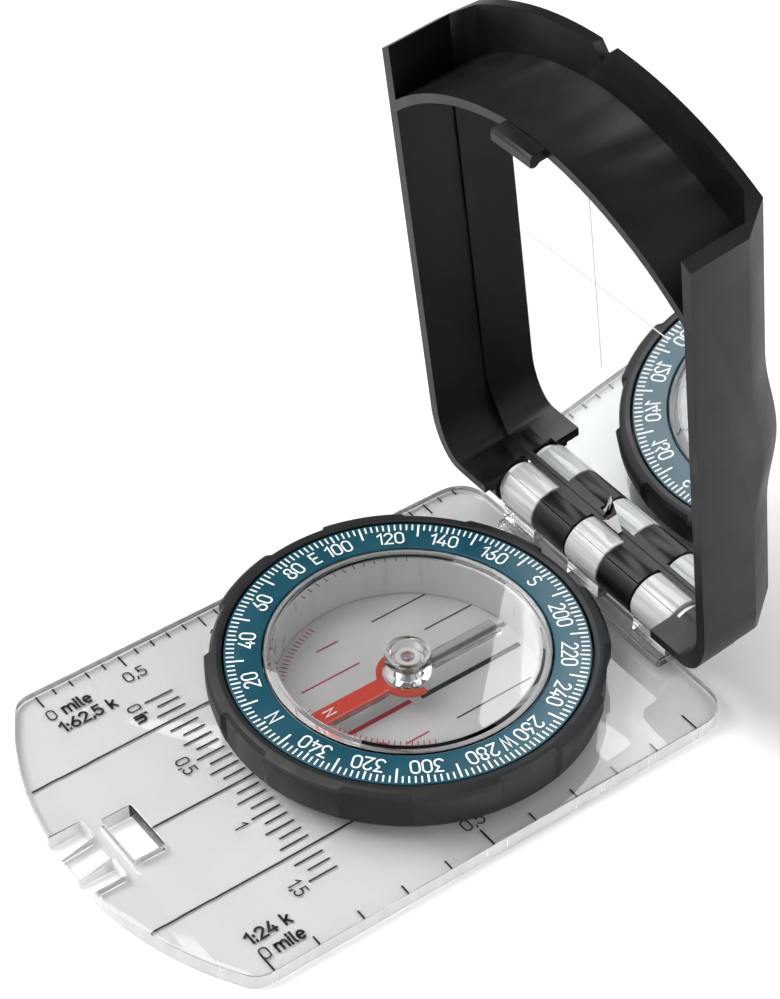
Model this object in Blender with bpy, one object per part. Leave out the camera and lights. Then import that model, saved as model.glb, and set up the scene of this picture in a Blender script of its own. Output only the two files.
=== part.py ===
"""Sighting compass: clear baseplate, turning dial capsule with a magnetic needle, and a hinged mirror cover.

Frame: +X across the plate, +Y along the plate towards the hinge, +Z up. The origin is on the plate's
underside, on the dial's axis. Sizes below are in millimetres and are turned to metres by MM.
"""

import math

import bmesh
import bpy
from mathutils import Matrix, Vector

MM = 0.001

# ---------------------------------------------------------------- driving dimensions
GAP = 0.3                 # clearance between pieces that touch or rest on each other

PLATE_WIDTH = 57.8
PLATE_THICK = 2.35
PLATE_FRONT = 52.6        # dial axis to the middle of the arched front edge
PLATE_REAR_SET = 0.7      # straight rear edge in front of the hinge axis
END_ARC_R = 50.0          # arch of the front edge and of the cover's free end
FRONT_CORNER_R = 3.5
REAR_CORNER_R = 5.5
PLATE_EDGE_BREAK = 0.25

WINDOW_HALF = 4.0         # latch window behind the front bridge
WINDOW_DEPTH = 4.3
BRIDGE_DEPTH = 2.3
WINDOW_SET = 11.6         # window's rear wall behind the plate's front edge
TONGUE_HALF = 2.3         # thumb tongue between the two front slots
FRONT_SLOT_WIDTH = 3.1
TONGUE_DROP = 1.1         # fall of the tongue's top towards the front edge

HINGE_CLEAR = 2.16        # hinge knuckles behind the dial's lobes
HINGE_RISE = 6.25         # hinge axis above the plate's top face
KNUCKLE_R = 3.64
KNUCKLE_WIDTH = 7.0
KNUCKLE_PLAY = 0.26       # side clearance in the cover beside the plate's knuckles
HINGE_PIN_R = 0.9
RAIL_HEIGHT = 1.5         # hinge rail above the plate's top face
RAIL_AHEAD = 4.1          # rail's front and rear faces from the hinge axis
RAIL_BEHIND = 1.7
EAR_WIDTH = 6.2           # cover's end webs outside the outer knuckles
LUG_WIDTH = 4.0           # round lugs under the end webs
LUG_FLAT = 2.2            # lugs cut flat below and behind the pin
WASHER_THICK = 0.5

COVER_SHORT = 3.4         # closed lip behind the plate's front edge
COVER_DEPTH = 13.15       # rim to the back panel's outer face
COVER_WALL = 1.5
COVER_CHAMFER_X = 2.7
COVER_CHAMFER_Z = 4.5
COVER_FOOT = 2.0          # hinge axis to the cover's lower edge
FOOT_CORNER_A = 5.0       # elliptical lower corner, across
FOOT_CORNER_B = 9.0       # and along
BACK_SLOPE_LENGTH = 7.0   # slanted lower end of the back panel
BACK_SLOPE_DROP = 2.3
GRIP_SWELL = 1.7          # raised finger grip across the back panel
GRIP_START = 26.0
GRIP_PEAK = 37.0
GRIP_END = 51.0
TRAY_DEPTH = 8.46         # rim to the mirror's face
END_WALL_RECESS = 5.7     # lip beyond the end wall
END_WALL_THICK = 1.3
END_WALL_RIDGE = 1.5      # half the offset between the end wall's two arcs
COVER_OPEN_DEG = 82.8

TAB_HALF = 3.7
TAB_THICK = 1.4
TAB_SET_BACK = 0.15       # tab's outer face behind the end wall's
TAB_HOOK = 0.4
NOTCH_HALF = 1.6
NOTCH_DEPTH = 2.0
SIGHT_HALF = 2.6          # V-shaped lower sight opening, at the cover's lower edge
SIGHT_PEAK = 8.6          # hinge axis to the tip of the V

MIRROR_THICK = 0.8
MIRROR_PAD_THICK = 0.8
MIRROR_CORNER = 4.0
MIRROR_TUCK = 0.14        # mirror's lower edge below the knuckles' crest

CAPSULE_R = 19.0          # outside of the capsule's cup
CAPSULE_WALL = 0.7
CAPSULE_FLOOR = 0.6
FLOOR_DISC_THICK = 0.5
DIAL_TOP = 9.5            # graduated face above the plate's underside
DIAL_WIDTH = 4.9          # graduated ring, inner to outer edge
DIAL_THICK = 1.1
DOME_RIM_HEIGHT = 0.45    # clear lid above the graduated face
DOME_THICK = 1.0
DOME_BEVEL = 1.4
SEAL_R = 0.35

GRIP_WALL = 2.0           # grip ring outside the graduated ring, between its lobes
GRIP_CLEAR = 0.75         # grip ring above the plate's top face
LOBE_COUNT = 8
LOBE_DEG = 25.0
LOBE_FIRST_DEG = 22.5
LOBE_RISE = 0.7
LOBE_FOOT = 2.6           # lobes fade out this far above the grip ring's foot
LIP_RISE = 0.15           # grip ring's top above the graduated face
RING_EDGE = 0.8

PLATE_HOLE_CLEAR = 0.6
RETAINER_WIDTH = 1.2
RETAINER_THICK = 0.6
FRICTION_SET = 1.7        # friction cord's centre line inside the graduated ring's edge
FRICTION_CORD_R = 0.28

NEEDLE_Z = 4.1            # underside of the needle's arms
NEEDLE_THICK = 0.6
NEEDLE_WIDTH = 2.7
NEEDLE_CLEAR = 3.1        # north arm's tip to the capsule's wall
SOUTH_SHORTER = 0.6
HUB_R = 3.1
HUB_BASE = 4.7
HUB_TOP = 8.3
HUB_WELL_R = 2.3
HUB_WELL_FLOOR = 6.6
HUB_BORE_R = 1.0
FORK_WIDTH = 0.9
JEWEL_R = 0.75
JEWEL_THICK = 0.8
COLLAR_R = 1.7
COLLAR_THICK = 0.5
MAGNET_LENGTH = 9.0
MAGNET_WIDTH = 1.6
MAGNET_THICK = 0.9
PIVOT_R = 0.4
PIVOT_TIP_Z = 6.9
PIVOT_CONE = 1.0
BUSH_R = 1.1
BUSH_HEIGHT = 0.8

ROUND_STEPS = 96
SMALL_STEPS = 32

# ---------------------------------------------------------------- derived places
HALF_WIDTH = PLATE_WIDTH / 2
DIAL_INNER_R = CAPSULE_R + GAP
DIAL_OUTER_R = DIAL_INNER_R + DIAL_WIDTH
GRIP_R = DIAL_OUTER_R + GRIP_WALL
FRICTION_RING_R = DIAL_OUTER_R - FRICTION_SET
NORTH_LENGTH = CAPSULE_R - CAPSULE_WALL - NEEDLE_CLEAR
SOUTH_LENGTH = NORTH_LENGTH - SOUTH_SHORTER
HINGE_Y = GRIP_R + LOBE_RISE + HINGE_CLEAR + KNUCKLE_R
PLATE_REAR = HINGE_Y - PLATE_REAR_SET
RAIL_FRONT = HINGE_Y - RAIL_AHEAD
RAIL_REAR = HINGE_Y + RAIL_BEHIND
WINDOW_REAR = PLATE_FRONT - WINDOW_SET
COVER_LENGTH = HINGE_Y + PLATE_FRONT - COVER_SHORT
HINGE_Z = PLATE_THICK + HINGE_RISE
RIM_Z = -(HINGE_RISE - GAP)                    # cover frame: z from the hinge axis, cover closed
BACK_Z = RIM_Z + COVER_DEPTH
MIRROR_Z = RIM_Z + TRAY_DEPTH
MIRROR_BACK_Z = MIRROR_Z + MIRROR_THICK
PANEL_IN_Z = BACK_Z - COVER_WALL
LIP_ARC_CENTRE = COVER_LENGTH - END_ARC_R
INNER_KNUCKLE_HALF = KNUCKLE_WIDTH / 2
OUTER_KNUCKLE_IN = INNER_KNUCKLE_HALF + KNUCKLE_WIDTH
OUTER_KNUCKLE_OUT = OUTER_KNUCKLE_IN + KNUCKLE_WIDTH
EAR_IN = OUTER_KNUCKLE_OUT + WASHER_THICK + 2 * GAP
EAR_OUT = EAR_IN + EAR_WIDTH
LUG_OUT = EAR_IN + LUG_WIDTH
FLOOR_DISC_Z = CAPSULE_FLOOR + GAP
FLOOR_TOP = FLOOR_DISC_Z + FLOOR_DISC_THICK
CAPSULE_IN_R = CAPSULE_R - CAPSULE_WALL
DOME_TOP = DIAL_TOP + DOME_RIM_HEIGHT
DIAL_BASE = DIAL_TOP - DIAL_THICK
SHELF_TOP = DIAL_BASE - GAP
SHELF_THICK = 1.0
GRIP_FOOT = PLATE_THICK + GRIP_CLEAR
GRIP_TOP = DIAL_TOP + LIP_RISE
GRIP_BORE_R = DIAL_OUTER_R + GAP
PLATE_HOLE_R = CAPSULE_R + PLATE_HOLE_CLEAR


# ---------------------------------------------------------------- helpers
def clear_scene():
    for obj in list(bpy.data.objects):
        bpy.data.objects.remove(obj, do_unlink=True)


def material(name, rgb, roughness, metallic=0.0):
    """Principled material with one colour, roughness and metallic value."""
    mat = bpy.data.materials.new(name)
    mat.use_nodes = True
    shader = mat.node_tree.nodes["Principled BSDF"]
    shader.inputs["Base Color"].default_value = (*rgb, 1.0)
    shader.inputs["Roughness"].default_value = roughness
    shader.inputs["Metallic"].default_value = metallic
    mat.diffuse_color = (*rgb, 1.0)
    return mat


def add_object(name, bm, mat=None, parent=None, smooth=True):
    """Turn a millimetre bmesh into a named object in metres, under its axis empty."""
    bmesh.ops.remove_doubles(bm, verts=bm.verts, dist=1e-5)
    bmesh.ops.recalc_face_normals(bm, faces=bm.faces)
    bmesh.ops.scale(bm, vec=Vector((MM, MM, MM)), verts=bm.verts)
    mesh = bpy.data.meshes.new(name)
    bm.to_mesh(mesh)
    bm.free()
    if smooth:
        mesh.shade_smooth()
        mesh.set_sharp_from_angle(angle=math.radians(30))
    obj = bpy.data.objects.new(name, mesh)
    if mat:
        mesh.materials.append(mat)
    bpy.context.scene.collection.objects.link(obj)
    obj.parent = parent
    return obj


def guide(name, bm, parent=None):
    """A helper shape for Booleans, kept out of the model."""
    obj = add_object(name, bm, parent=parent, smooth=False)
    obj.hide_render = True
    obj.display_type = "WIRE"
    return obj


def boolean(obj, other, operation):
    mod = obj.modifiers.new(other.name, "BOOLEAN")
    mod.operation = operation
    mod.solver = "EXACT"
    mod.object = other


def axis_empty(name, location, rotation=(0, 0, 0), parent=None):
    empty = bpy.data.objects.new(name, None)
    bpy.context.scene.collection.objects.link(empty)
    empty.parent = parent
    empty.location = Vector(location) * MM
    empty.rotation_euler = rotation
    return empty


def prism(outline, z_low, z_high, bm=None):
    """Closed prism over an outline of (x, y) points."""
    bm = bm or bmesh.new()
    low = [bm.verts.new((x, y, z_low)) for x, y in outline]
    high = [bm.verts.new((x, y, z_high)) for x, y in outline]
    bm.faces.new(low)
    bm.faces.new(high)
    count = len(outline)
    for i in range(count):
        j = (i + 1) % count
        bm.faces.new((low[i], low[j], high[j], high[i]))
    return bm


def box(x0, x1, y0, y1, z0, z1, bm=None):
    return prism([(x0, y0), (x1, y0), (x1, y1), (x0, y1)], z0, z1, bm)


def loft(sections):
    """Closed body through rings of points that match one to one, flat at both ends."""
    bm = bmesh.new()
    rings = [[bm.verts.new(point) for point in section] for section in sections]
    bm.faces.new(rings[0])
    bm.faces.new(rings[-1])
    count = len(rings[0])
    for ring, following in zip(rings, rings[1:]):
        for i in range(count):
            j = (i + 1) % count
            bm.faces.new((ring[i], ring[j], following[j], following[i]))
    return bm


def lathe(profile, steps=ROUND_STEPS, radius_at=None):
    """Turn a closed (radius, z) profile about Z. radius_at(r, z, angle) may reshape it."""
    bm = bmesh.new()
    rings = []
    for r, z in profile:
        if r == 0:
            rings.append([bm.verts.new((0, 0, z))] * steps)
            continue
        ring = []
        for i in range(steps):
            angle = 2 * math.pi * i / steps
            radius = radius_at(r, z, angle) if radius_at else r
            ring.append(bm.verts.new((radius * math.cos(angle), radius * math.sin(angle), z)))
        rings.append(ring)
    for k in range(len(rings)):
        ring = rings[k]
        following = rings[(k + 1) % len(rings)]
        for i in range(steps):
            j = (i + 1) % steps
            corners = [ring[i], ring[j], following[j], following[i]]
            unique = list(dict.fromkeys(corners))
            if len(unique) > 2:
                bm.faces.new(unique)
    return bm


def rod_x(radius, x0, x1, steps=SMALL_STEPS, y=0.0, z=0.0):
    """Cylinder along X."""
    bm = lathe([(0, x0), (radius, x0), (radius, x1), (0, x1)], steps)
    turn = Matrix(((0, 0, 1, 0), (1, 0, 0, y), (0, 1, 0, z), (0, 0, 0, 1)))
    bmesh.ops.transform(bm, matrix=turn, verts=bm.verts)
    return bm


def arc(cx, cy, radius, start_deg, end_deg, steps):
    points = []
    for i in range(steps + 1):
        angle = math.radians(start_deg + (end_deg - start_deg) * i / steps)
        points.append((cx + radius * math.cos(angle), cy + radius * math.sin(angle)))
    return points


def mirrored(half):
    """Outline from its +X half, listed from the far Y end to the near one."""
    return half + [(-x, y) for x, y in reversed(half) if abs(x) > 1e-9]


def torus_profile(radius, z, cord_r, steps=10):
    return arc(radius, z, cord_r, 0, 360 - 360 / steps, steps - 1)


# ---------------------------------------------------------------- baseplate
def plate_outline():
    """Arched front edge, rounded corners and straight sides, on the dial's frame."""
    arc_y = END_ARC_R - PLATE_FRONT
    inner = END_ARC_R - FRONT_CORNER_R
    corner_x = HALF_WIDTH - FRONT_CORNER_R
    corner_y = arc_y - math.sqrt(inner ** 2 - corner_x ** 2)
    turn = math.degrees(math.atan2(corner_y - arc_y, corner_x))
    half = arc(HALF_WIDTH - REAR_CORNER_R, PLATE_REAR - REAR_CORNER_R, REAR_CORNER_R, 90, 0, 8)
    half += arc(corner_x, corner_y, FRONT_CORNER_R, 0, turn, 6)
    half += arc(0, arc_y, END_ARC_R, turn, -90, 16)[1:]
    return mirrored(half)


def base_knuckles():
    """X spans of the plate's three knuckles."""
    return [(-OUTER_KNUCKLE_OUT, -OUTER_KNUCKLE_IN - GAP / 2),
            (-INNER_KNUCKLE_HALF + GAP / 2, INNER_KNUCKLE_HALF - GAP / 2),
            (OUTER_KNUCKLE_IN + GAP / 2, OUTER_KNUCKLE_OUT)]


def cover_knuckles():
    """X spans of the cover's two knuckles."""
    return [(-OUTER_KNUCKLE_IN + GAP / 2, -INNER_KNUCKLE_HALF - GAP / 2),
            (INNER_KNUCKLE_HALF + GAP / 2, OUTER_KNUCKLE_IN - GAP / 2)]


def knuckle_clearances():
    """X spans cut from the cover around the plate's knuckles and the washers beside them."""
    inner, middle, outer = base_knuckles()
    lug = EAR_IN + GAP / 2
    return [(-lug, inner[1] + KNUCKLE_PLAY), (middle[0] - KNUCKLE_PLAY, middle[1] + KNUCKLE_PLAY),
            (outer[0] - KNUCKLE_PLAY, lug)]


def make_baseplate(mat):
    plate = add_object("baseplate", prism(plate_outline(), 0, PLATE_THICK), mat, smooth=False)
    edge = plate.modifiers.new("edge_break", "BEVEL")
    edge.width = PLATE_EDGE_BREAK * MM
    edge.segments = 1
    edge.limit_method = "ANGLE"
    edge.angle_limit = math.radians(60)
    rail_top = PLATE_THICK + RAIL_HEIGHT
    rail = box(-OUTER_KNUCKLE_OUT, OUTER_KNUCKLE_OUT, RAIL_FRONT, RAIL_REAR, PLATE_EDGE_BREAK, rail_top)
    boolean(plate, guide("hinge_rail", rail), "UNION")
    for number, (x0, x1) in enumerate(base_knuckles()):
        web = box(x0, x1, HINGE_Y - KNUCKLE_R * 0.8, RAIL_REAR - GAP, PLATE_THICK, HINGE_Z)
        boolean(plate, guide("knuckle_web_%d" % number, web), "UNION")
        knuckle = rod_x(KNUCKLE_R, x0, x1, y=HINGE_Y, z=HINGE_Z)
        boolean(plate, guide("knuckle_%d" % number, knuckle), "UNION")
    bore = rod_x(HINGE_PIN_R + GAP, -HALF_WIDTH, HALF_WIDTH, 20, HINGE_Y, HINGE_Z)
    boolean(plate, guide("hinge_bore", bore), "DIFFERENCE")
    hole = lathe([(0, -1), (PLATE_HOLE_R, -1), (PLATE_HOLE_R, PLATE_THICK + 1), (0, PLATE_THICK + 1)])
    boolean(plate, guide("dial_hole", hole), "DIFFERENCE")
    seat_r = PLATE_HOLE_R + RETAINER_WIDTH + GAP
    seat_top = RETAINER_THICK + GAP
    seat = lathe([(0, -1), (seat_r, -1), (seat_r, seat_top), (0, seat_top)])
    boolean(plate, guide("retainer_seat", seat), "DIFFERENCE")
    window_front = WINDOW_REAR + WINDOW_DEPTH
    window = box(-WINDOW_HALF, WINDOW_HALF, -window_front, -WINDOW_REAR, -1, PLATE_THICK + 1)
    boolean(plate, guide("latch_window", window), "DIFFERENCE")
    slot_rear = -(window_front + BRIDGE_DEPTH)
    for side in (-1, 1):
        near = side * TONGUE_HALF
        far = side * (TONGUE_HALF + FRONT_SLOT_WIDTH)
        slot = box(min(near, far), max(near, far), -PLATE_FRONT - 1, slot_rear, -1, PLATE_THICK + 1)
        boolean(plate, guide("front_slot_%s" % ("left" if side < 0 else "right"), slot), "DIFFERENCE")
    ramp_low = PLATE_THICK - TONGUE_DROP
    x0 = -TONGUE_HALF - FRONT_SLOT_WIDTH / 2
    ramp = [[(x, slot_rear, PLATE_THICK), (x, -PLATE_FRONT - 1, ramp_low),
             (x, -PLATE_FRONT - 1, PLATE_THICK + 1), (x, slot_rear, PLATE_THICK + 1)] for x in (x0, -x0)]
    boolean(plate, guide("tongue_ramp", loft(ramp)), "DIFFERENCE")
    return plate


def make_base_hardware(steel, rubber, nylon):
    pin_half = LUG_OUT - COVER_WALL
    add_object("hinge_pin", rod_x(HINGE_PIN_R, -pin_half, pin_half, 24, HINGE_Y, HINGE_Z), steel)
    cord_z = PLATE_THICK + GAP + FRICTION_CORD_R
    add_object("friction_ring", lathe(torus_profile(FRICTION_RING_R, cord_z, FRICTION_CORD_R)), rubber)
    washer_r = KNUCKLE_R * 0.85
    bore_r = HINGE_PIN_R + GAP
    for side, label in ((-1, "left"), (1, "right")):
        profile = [(bore_r, 0), (washer_r, 0), (washer_r, WASHER_THICK), (bore_r, WASHER_THICK)]
        bm = lathe(profile, SMALL_STEPS)
        start = OUTER_KNUCKLE_OUT + GAP if side > 0 else -OUTER_KNUCKLE_OUT - GAP - WASHER_THICK
        turn = Matrix(((0, 0, 1, start), (1, 0, 0, HINGE_Y), (0, 1, 0, HINGE_Z), (0, 0, 0, 1)))
        bmesh.ops.transform(bm, matrix=turn, verts=bm.verts)
        add_object("hinge_washer_" + label, bm, nylon)


# ---------------------------------------------------------------- dial
def lobe_radius(r, z, angle):
    """Raised grip lobes that fade out above the grip ring's foot."""
    if r < GRIP_R - RING_EDGE - 1e-6:
        return r
    pitch = 360 / LOBE_COUNT
    offset = (math.degrees(angle) - LOBE_FIRST_DEG + pitch / 2) % pitch - pitch / 2
    if abs(offset) > LOBE_DEG / 2:
        return r
    fade = min(1.0, max(0.0, (z - GRIP_FOOT - RING_EDGE) / LOBE_FOOT))
    return r + LOBE_RISE * fade


def make_dial(axis, mats):
    shelf_low = SHELF_TOP - SHELF_THICK
    skirt_in = GRIP_BORE_R
    profile = [(GRIP_BORE_R, GRIP_TOP), (GRIP_BORE_R, SHELF_TOP), (CAPSULE_R + GAP, SHELF_TOP),
               (CAPSULE_R + GAP, shelf_low), (skirt_in, shelf_low), (skirt_in, GRIP_FOOT),
               (GRIP_R - RING_EDGE, GRIP_FOOT), (GRIP_R, GRIP_FOOT + RING_EDGE),
               (GRIP_R, GRIP_FOOT + RING_EDGE + LOBE_FOOT), (GRIP_R, GRIP_TOP - RING_EDGE),
               (GRIP_R - RING_EDGE * 0.3, GRIP_TOP - RING_EDGE * 0.3), (GRIP_R - RING_EDGE, GRIP_TOP)]
    add_object("grip_ring", lathe(profile, 144, lobe_radius), mats["grip"], axis)
    ring = [(DIAL_INNER_R, DIAL_BASE), (DIAL_OUTER_R, DIAL_BASE),
            (DIAL_OUTER_R, DIAL_TOP), (DIAL_INNER_R, DIAL_TOP)]
    add_object("dial_ring", lathe(ring), mats["dial"], axis)
    cup_top = DIAL_BASE - GAP
    cup = [(0, 0), (CAPSULE_R, 0), (CAPSULE_R, cup_top), (CAPSULE_IN_R, cup_top),
           (CAPSULE_IN_R, CAPSULE_FLOOR), (0, CAPSULE_FLOOR)]
    add_object("capsule_cup", lathe(cup), mats["clear"], axis)
    disc_r = CAPSULE_IN_R - GAP
    bore = BUSH_R + GAP
    disc = [(bore, FLOOR_DISC_Z), (disc_r, FLOOR_DISC_Z), (disc_r, FLOOR_TOP), (bore, FLOOR_TOP)]
    add_object("floor_disc", lathe(disc), mats["floor"], axis)
    dome_r = DIAL_INNER_R - GAP
    under = DOME_TOP - DOME_THICK
    skirt = cup_top + 2 * SEAL_R + 2 * GAP
    skirt_in_r = CAPSULE_IN_R - GAP
    dome = [(0, under), (skirt_in_r - DOME_BEVEL * 0.5, under), (skirt_in_r, skirt), (dome_r, skirt),
            (dome_r, DIAL_TOP), (dome_r - DOME_BEVEL, DOME_TOP), (0, DOME_TOP)]
    add_object("capsule_dome", lathe(dome), mats["clear"], axis)
    seal_mid = (CAPSULE_R + CAPSULE_IN_R) / 2
    seal = torus_profile(seal_mid, cup_top + GAP + SEAL_R, SEAL_R)
    add_object("capsule_seal", lathe(seal), mats["seal"], axis)
    inner = PLATE_HOLE_R - PLATE_HOLE_CLEAR + GAP
    outer = PLATE_HOLE_R + RETAINER_WIDTH
    retainer = [(inner, 0), (outer, 0), (outer, RETAINER_THICK), (inner, RETAINER_THICK)]
    add_object("retainer_ring", lathe(retainer), mats["steel"], axis)
    pin_base = FLOOR_DISC_Z
    pivot = [(0, pin_base), (PIVOT_R, pin_base), (PIVOT_R, PIVOT_TIP_Z - PIVOT_CONE), (0, PIVOT_TIP_Z)]
    add_object("pivot_pin", lathe(pivot, 16), mats["steel"], axis)
    bush_in = PIVOT_R + GAP
    bush = [(bush_in, pin_base), (BUSH_R, pin_base), (BUSH_R, FLOOR_TOP + BUSH_HEIGHT),
            (bush_in, FLOOR_TOP + BUSH_HEIGHT)]
    add_object("pivot_bush", lathe(bush, SMALL_STEPS), mats["brass"], axis)


# ---------------------------------------------------------------- needle
def north_outline():
    """Straight arm with a fork that embraces the hub, pointing to -Y."""
    fork_in = HUB_R + GAP
    fork_out = fork_in + FORK_WIDTH
    half_arm = NEEDLE_WIDTH / 2
    join_deg = math.degrees(math.asin(half_arm / fork_out))
    outer = arc(0, 0, fork_out, 0, -90 + join_deg, 10)
    tip = [(half_arm, -NORTH_LENGTH), (-half_arm, -NORTH_LENGTH)]
    outer_left = arc(0, 0, fork_out, -90 - join_deg, -180, 10)
    inner = arc(0, 0, fork_in, -180, 0, 20)
    return outer + tip + outer_left + inner


def make_needle(axis, mats):
    top = NEEDLE_Z + NEEDLE_THICK
    fork_z = HUB_BASE + GAP
    north = add_object("needle_north", prism(north_outline(), NEEDLE_Z, top), mats["red"], axis, smooth=False)
    edge = north.modifiers.new("edge_break", "BEVEL")
    edge.width = 0.12 * MM
    edge.segments = 2
    edge.limit_method = "ANGLE"
    edge.angle_limit = math.radians(50)
    half_arm = NEEDLE_WIDTH / 2
    start = HUB_R + GAP
    south = box(-half_arm, half_arm, start, SOUTH_LENGTH, NEEDLE_Z, top)
    add_object("needle_south", south, mats["smoke"], axis, smooth=False)
    hub = [(HUB_BORE_R, HUB_BASE), (HUB_R, HUB_BASE), (HUB_R, HUB_TOP - 0.3), (HUB_R - 0.3, HUB_TOP),
           (HUB_WELL_R, HUB_TOP), (HUB_WELL_R, HUB_WELL_FLOOR), (HUB_BORE_R, HUB_WELL_FLOOR)]
    add_object("hub_cup", lathe(hub, 48), mats["clear"], axis)
    collar_z = HUB_WELL_FLOOR + GAP
    collar = [(HUB_BORE_R, collar_z), (COLLAR_R, collar_z), (COLLAR_R, collar_z + COLLAR_THICK),
              (HUB_BORE_R, collar_z + COLLAR_THICK)]
    add_object("jewel_collar", lathe(collar, SMALL_STEPS), mats["nylon"], axis)
    jewel_z = PIVOT_TIP_Z - 0.15
    dimple = JEWEL_R * 0.5
    jewel = [(0, PIVOT_TIP_Z + 0.12), (dimple, jewel_z), (JEWEL_R, jewel_z), (JEWEL_R, jewel_z + JEWEL_THICK),
             (0, jewel_z + JEWEL_THICK)]
    add_object("hub_jewel", lathe(jewel, 24), mats["jewel"], axis)
    magnet_top = NEEDLE_Z - GAP
    magnet_start = -(HUB_R + 0.6)
    magnet = box(-MAGNET_WIDTH / 2, MAGNET_WIDTH / 2, magnet_start - MAGNET_LENGTH, magnet_start,
                 magnet_top - MAGNET_THICK, magnet_top)
    add_object("needle_magnet", magnet, mats["steel"], axis, smooth=False)


# ---------------------------------------------------------------- cover
def cover_outline(inset=0.0, lip_inset=0.0):
    """Plan of the cover in its own frame: y is minus the distance from the hinge axis."""
    half = HALF_WIDTH - inset
    radius = END_ARC_R - lip_inset
    reach = math.degrees(math.asin(half / radius))
    foot = COVER_FOOT + inset
    a = FOOT_CORNER_A - inset * 0.6
    b = FOOT_CORNER_B - inset * 0.6
    half_line = []
    for x, y in arc(0, -LIP_ARC_CENTRE, radius, -90, -90 + reach, 18):
        half_line.append((x, y))
    for i in range(11):
        angle = math.radians(90 * i / 10)
        half_line.append((half - a + a * math.cos(angle), -(foot + b) + b * math.sin(angle)))
    return mirrored(half_line)


def grip_swell(along):
    """Height of the finger swell at a distance from the hinge axis."""
    if along <= GRIP_START or along >= GRIP_END:
        return 0.0
    if along < GRIP_PEAK:
        share = (along - GRIP_START) / (GRIP_PEAK - GRIP_START)
    else:
        share = (GRIP_END - along) / (GRIP_END - GRIP_PEAK)
    return GRIP_SWELL * 0.5 * (1 - math.cos(math.pi * share))


def back_height(along):
    """Z of the back panel's outer face, with the slanted lower end and the swell."""
    slope_end = COVER_FOOT + BACK_SLOPE_LENGTH
    drop = BACK_SLOPE_DROP * max(0.0, (slope_end - along) / BACK_SLOPE_LENGTH)
    return BACK_Z - drop + grip_swell(along)


def cover_section(along, side, knee, top):
    """One hexagonal cross-section: straight sides, slanted shoulders and a flat back."""
    flat = side - COVER_CHAMFER_X
    low = RIM_Z - 1 if side < HALF_WIDTH else RIM_Z
    return [(x, -along, z) for x, z in ((-side, low), (side, low), (side, knee),
                                        (flat, top), (-flat, top), (-side, knee))]


def outer_sections(stations):
    return [cover_section(u, HALF_WIDTH, back_height(u) - COVER_CHAMFER_Z, back_height(u)) for u in stations]


def tray_sections(stations):
    """Inside of the cover: straight sides down to the mirror's back, then the slanted shoulders."""
    sections = []
    for along in stations:
        top = back_height(along) - COVER_WALL
        knee = min(MIRROR_BACK_Z + GAP / 2, top - GAP)
        sections.append(cover_section(along, HALF_WIDTH - COVER_WALL, knee, top))
    return sections


def cover_stations(first, last):
    swell = [GRIP_START + (GRIP_END - GRIP_START) * i / 16 for i in range(17)]
    slope_end = COVER_FOOT + BACK_SLOPE_LENGTH
    stations = [first, slope_end] + swell + [last]
    return sorted({round(value, 6) for value in stations if first <= value <= last})


def end_wall_outline():
    """Band along two arcs that meet in a slight ridge on the cover's centre line."""
    half = HALF_WIDTH - COVER_WALL / 2
    points = []
    for recess, direction in ((END_WALL_RECESS, 1), (END_WALL_RECESS + END_WALL_THICK, -1)):
        radius = END_ARC_R - recess
        row = []
        for i in range(13):
            x = half * i / 12
            dx = x + END_WALL_RIDGE
            row.append((x, -LIP_ARC_CENTRE - math.sqrt(radius ** 2 - dx ** 2)))
        line = [(-x, y) for x, y in reversed(row[1:])] + row
        points += line if direction > 0 else list(reversed(line))
    return points


def end_wall_limit():
    """Body that keeps the end wall inside the cover's slanted shoulders and back panel."""
    side = HALF_WIDTH - COVER_WALL * 0.4
    knee = BACK_Z - COVER_CHAMFER_Z
    return loft([cover_section(u, side, knee, BACK_Z - COVER_WALL / 2)
                 for u in (COVER_LENGTH / 2, COVER_LENGTH + 2)])


def end_wall_y(x, recess):
    radius = END_ARC_R - recess
    return -LIP_ARC_CENTRE - math.sqrt(radius ** 2 - (abs(x) + END_WALL_RIDGE) ** 2)


def lug_outline():
    """Round lug whose lower and rear sides are flat, so that it stays inside the cover's foot."""
    circle = arc(0, 0, KNUCKLE_R, 0, 360 - 360 / SMALL_STEPS, SMALL_STEPS - 1)
    return list(dict.fromkeys((min(y, LUG_FLAT), min(z, LUG_FLAT)) for y, z in circle))


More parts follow.
